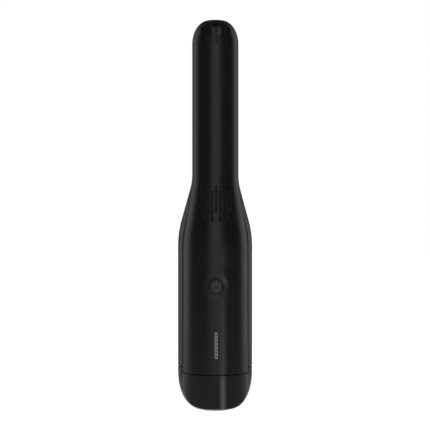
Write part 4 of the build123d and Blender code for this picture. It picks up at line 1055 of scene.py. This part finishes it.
# ---------------------------------------------------------------- camera, light and floor
CAMERA_AWAY = 1.4
CAMERA_TURN = math.radians(1.5)         # the camera stands a little to the left
CAMERA_SIDE = -0.0002
CAMERA_HEIGHT = 0.18
FRAME_WIDE = 0.39927                    # width of the view at the object
SENSOR = 36.0


def add_camera():
    data = bpy.data.cameras.new("photo_camera")
    data.sensor_width = SENSOR
    data.lens = SENSOR * CAMERA_AWAY / FRAME_WIDE
    data.clip_start, data.clip_end = 0.05, 50
    camera = bpy.data.objects.new("photo_camera", data)
    aside, along = math.sin(CAMERA_TURN), math.cos(CAMERA_TURN)
    camera.location = (CAMERA_SIDE * along - CAMERA_AWAY * aside,
                       -CAMERA_SIDE * aside - CAMERA_AWAY * along, CAMERA_HEIGHT)
    camera.rotation_euler = (math.pi / 2, 0, -CAMERA_TURN)
    bpy.context.scene.collection.objects.link(camera)
    bpy.context.scene.camera = camera


# A plain studio: one broad soft light in front, one on each side towards the back, and a strip light
# below the object's height. Each has its bearing from the front, its half width in degrees, and its
# brightness. The fades are heights of a direction, from -1 straight down to 1 straight up, between
# which the room gives way to the low strip, to the floor's glow or to the ceiling.
ROOM_LEVEL, LOW_LEVEL = 0.1, 0.3
SOFT_LIGHTS = ((-120, 35, 0.7), (0, 40, 0.7), (120, 35, 0.7))
LOW_STRIP = ((25, 15, 2.0),)
FLOOR_GLOW, CEILING_GLOW = 1.0, 0.1
LOW_FADE, FLOOR_FADE, CEILING_FADE = (-0.08, -0.11), (-0.28, -0.5), (0.35, 0.75)
FLOOR_HALF, FLOOR_DROP, FLOOR_EMISSION = 6.0, 0.0002, 0.96


def studio_ramp(tree, share, lights, level):
    """Grey levels against the bearing: a level room with soft lights in it."""
    ramp = node(tree, "ShaderNodeValToRGB", {"Fac": share})
    ramp.color_ramp.interpolation = "EASE"
    stops = ramp.color_ramp.elements
    while len(stops) > 1:
        stops.remove(stops[-1])
    top = max(light[2] for light in lights)
    stops[0].position = 0
    stops[0].color = (level / top,) * 3 + (1,)
    for bearing, half_width, bright in lights:
        for turn, value in ((-half_width, level), (0, bright), (half_width, level)):
            stop = stops.new((bearing + turn + 180) / 360)
            stop.color = (value / top,) * 3 + (1,)
    scaled = node(tree, "ShaderNodeMath", {0: ramp.outputs["Color"], 1: top}, operation="MULTIPLY")
    return scaled.outputs[0]


def studio_world():
    """White to look at; to the object it is a dim room with soft lights round it and a pale floor."""
    world = bpy.data.worlds.new("studio")
    bpy.context.scene.world = world
    world.use_nodes = True
    tree = world.node_tree
    tree.nodes.clear()
    way = node(tree, "ShaderNodeSeparateXYZ", {0: node(tree, "ShaderNodeTexCoord").outputs["Generated"]})
    back = node(tree, "ShaderNodeMath", {0: way.outputs["Y"], 1: -1.0}, operation="MULTIPLY")
    bearing = node(tree, "ShaderNodeMath", {0: way.outputs["X"], 1: back.outputs[0]}, operation="ARCTAN2")
    share = mapped(tree, bearing.outputs[0], 0.0, 1.0, -math.pi, math.pi)
    high = studio_ramp(tree, share, SOFT_LIGHTS, ROOM_LEVEL)
    low = studio_ramp(tree, share, LOW_STRIP, LOW_LEVEL)
    lowness = mapped(tree, way.outputs["Z"], 0.0, 1.0, *LOW_FADE)
    down = mapped(tree, way.outputs["Z"], 0.0, 1.0, *FLOOR_FADE)
    up = mapped(tree, way.outputs["Z"], 0.0, 1.0, *CEILING_FADE)
    sides = mixed(tree, up, mixed(tree, lowness, high, low), (CEILING_GLOW,) * 3)
    room = mixed(tree, down, sides, (FLOOR_GLOW,) * 3)
    lit = node(tree, "ShaderNodeBackground", {"Color": room, "Strength": 1.0})
    seen = node(tree, "ShaderNodeBackground", {"Color": (1, 1, 1, 1), "Strength": 1.0})
    looking = node(tree, "ShaderNodeLightPath").outputs["Is Camera Ray"]
    both = node(tree, "ShaderNodeMixShader", {0: looking, 1: lit.outputs[0], 2: seen.outputs[0]})
    node(tree, "ShaderNodeOutputWorld", {"Surface": both.outputs[0]})


def add_top_light():
    """A soft rectangular light above and in front, aimed at the object's middle."""
    bearing, away, height, size, radiance = math.radians(8), 0.9, 1.3, (0.9, 0.8), 0.7
    data = bpy.data.lights.new("top_light", "AREA")
    data.shape = "RECTANGLE"
    data.size, data.size_y = size
    data.energy = radiance * math.pi * size[0] * size[1]
    light = bpy.data.objects.new("top_light", data)
    light.location = (away * math.sin(bearing), -away * math.cos(bearing), height)
    aim = Vector((0, 0, CAMERA_HEIGHT))
    light.rotation_euler = (aim - light.location).to_track_quat("-Z", "Y").to_euler()
    light.visible_camera = False
    bpy.context.scene.collection.objects.link(light)


def add_floor():
    """Pale floor that glows by itself, is left out of reflections and casts no shadow."""
    corners = [(across * FLOOR_HALF, along * FLOOR_HALF, 0)
               for across, along in ((-1, -1), (1, -1), (1, 1), (-1, 1))]
    mesh = bpy.data.meshes.new("floor")
    mesh.from_pydata(corners, [], [(0, 1, 2, 3)])
    floor = bpy.data.objects.new("floor", mesh)
    floor.location.z = cad_box[0].z - FLOOR_DROP
    bpy.context.scene.collection.objects.link(floor)
    made, tree, shader = new_material("pale_floor", (0.9, 0.9, 0.9), 0.8)
    grain = mixed(tree, mapped(tree, noise(tree, 0.05), 0.0, 1.0), (0.88, 0.88, 0.88), (0.92, 0.92, 0.92))
    tree.links.new(grain, shader.inputs["Base Color"])
    shader.inputs["Emission Color"].default_value = (1, 1, 1, 1)
    shader.inputs["Emission Strength"].default_value = FLOOR_EMISSION
    mesh.materials.append(made)
    floor.visible_glossy = False
    floor.visible_diffuse = False
    floor.visible_shadow = False
    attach(floor, "dust_cup")


bpy.context.scene.view_settings.view_transform = "Standard"
finish_cad_nodes()
build_pieces()
add_camera()
studio_world()
add_top_light()
add_floor()
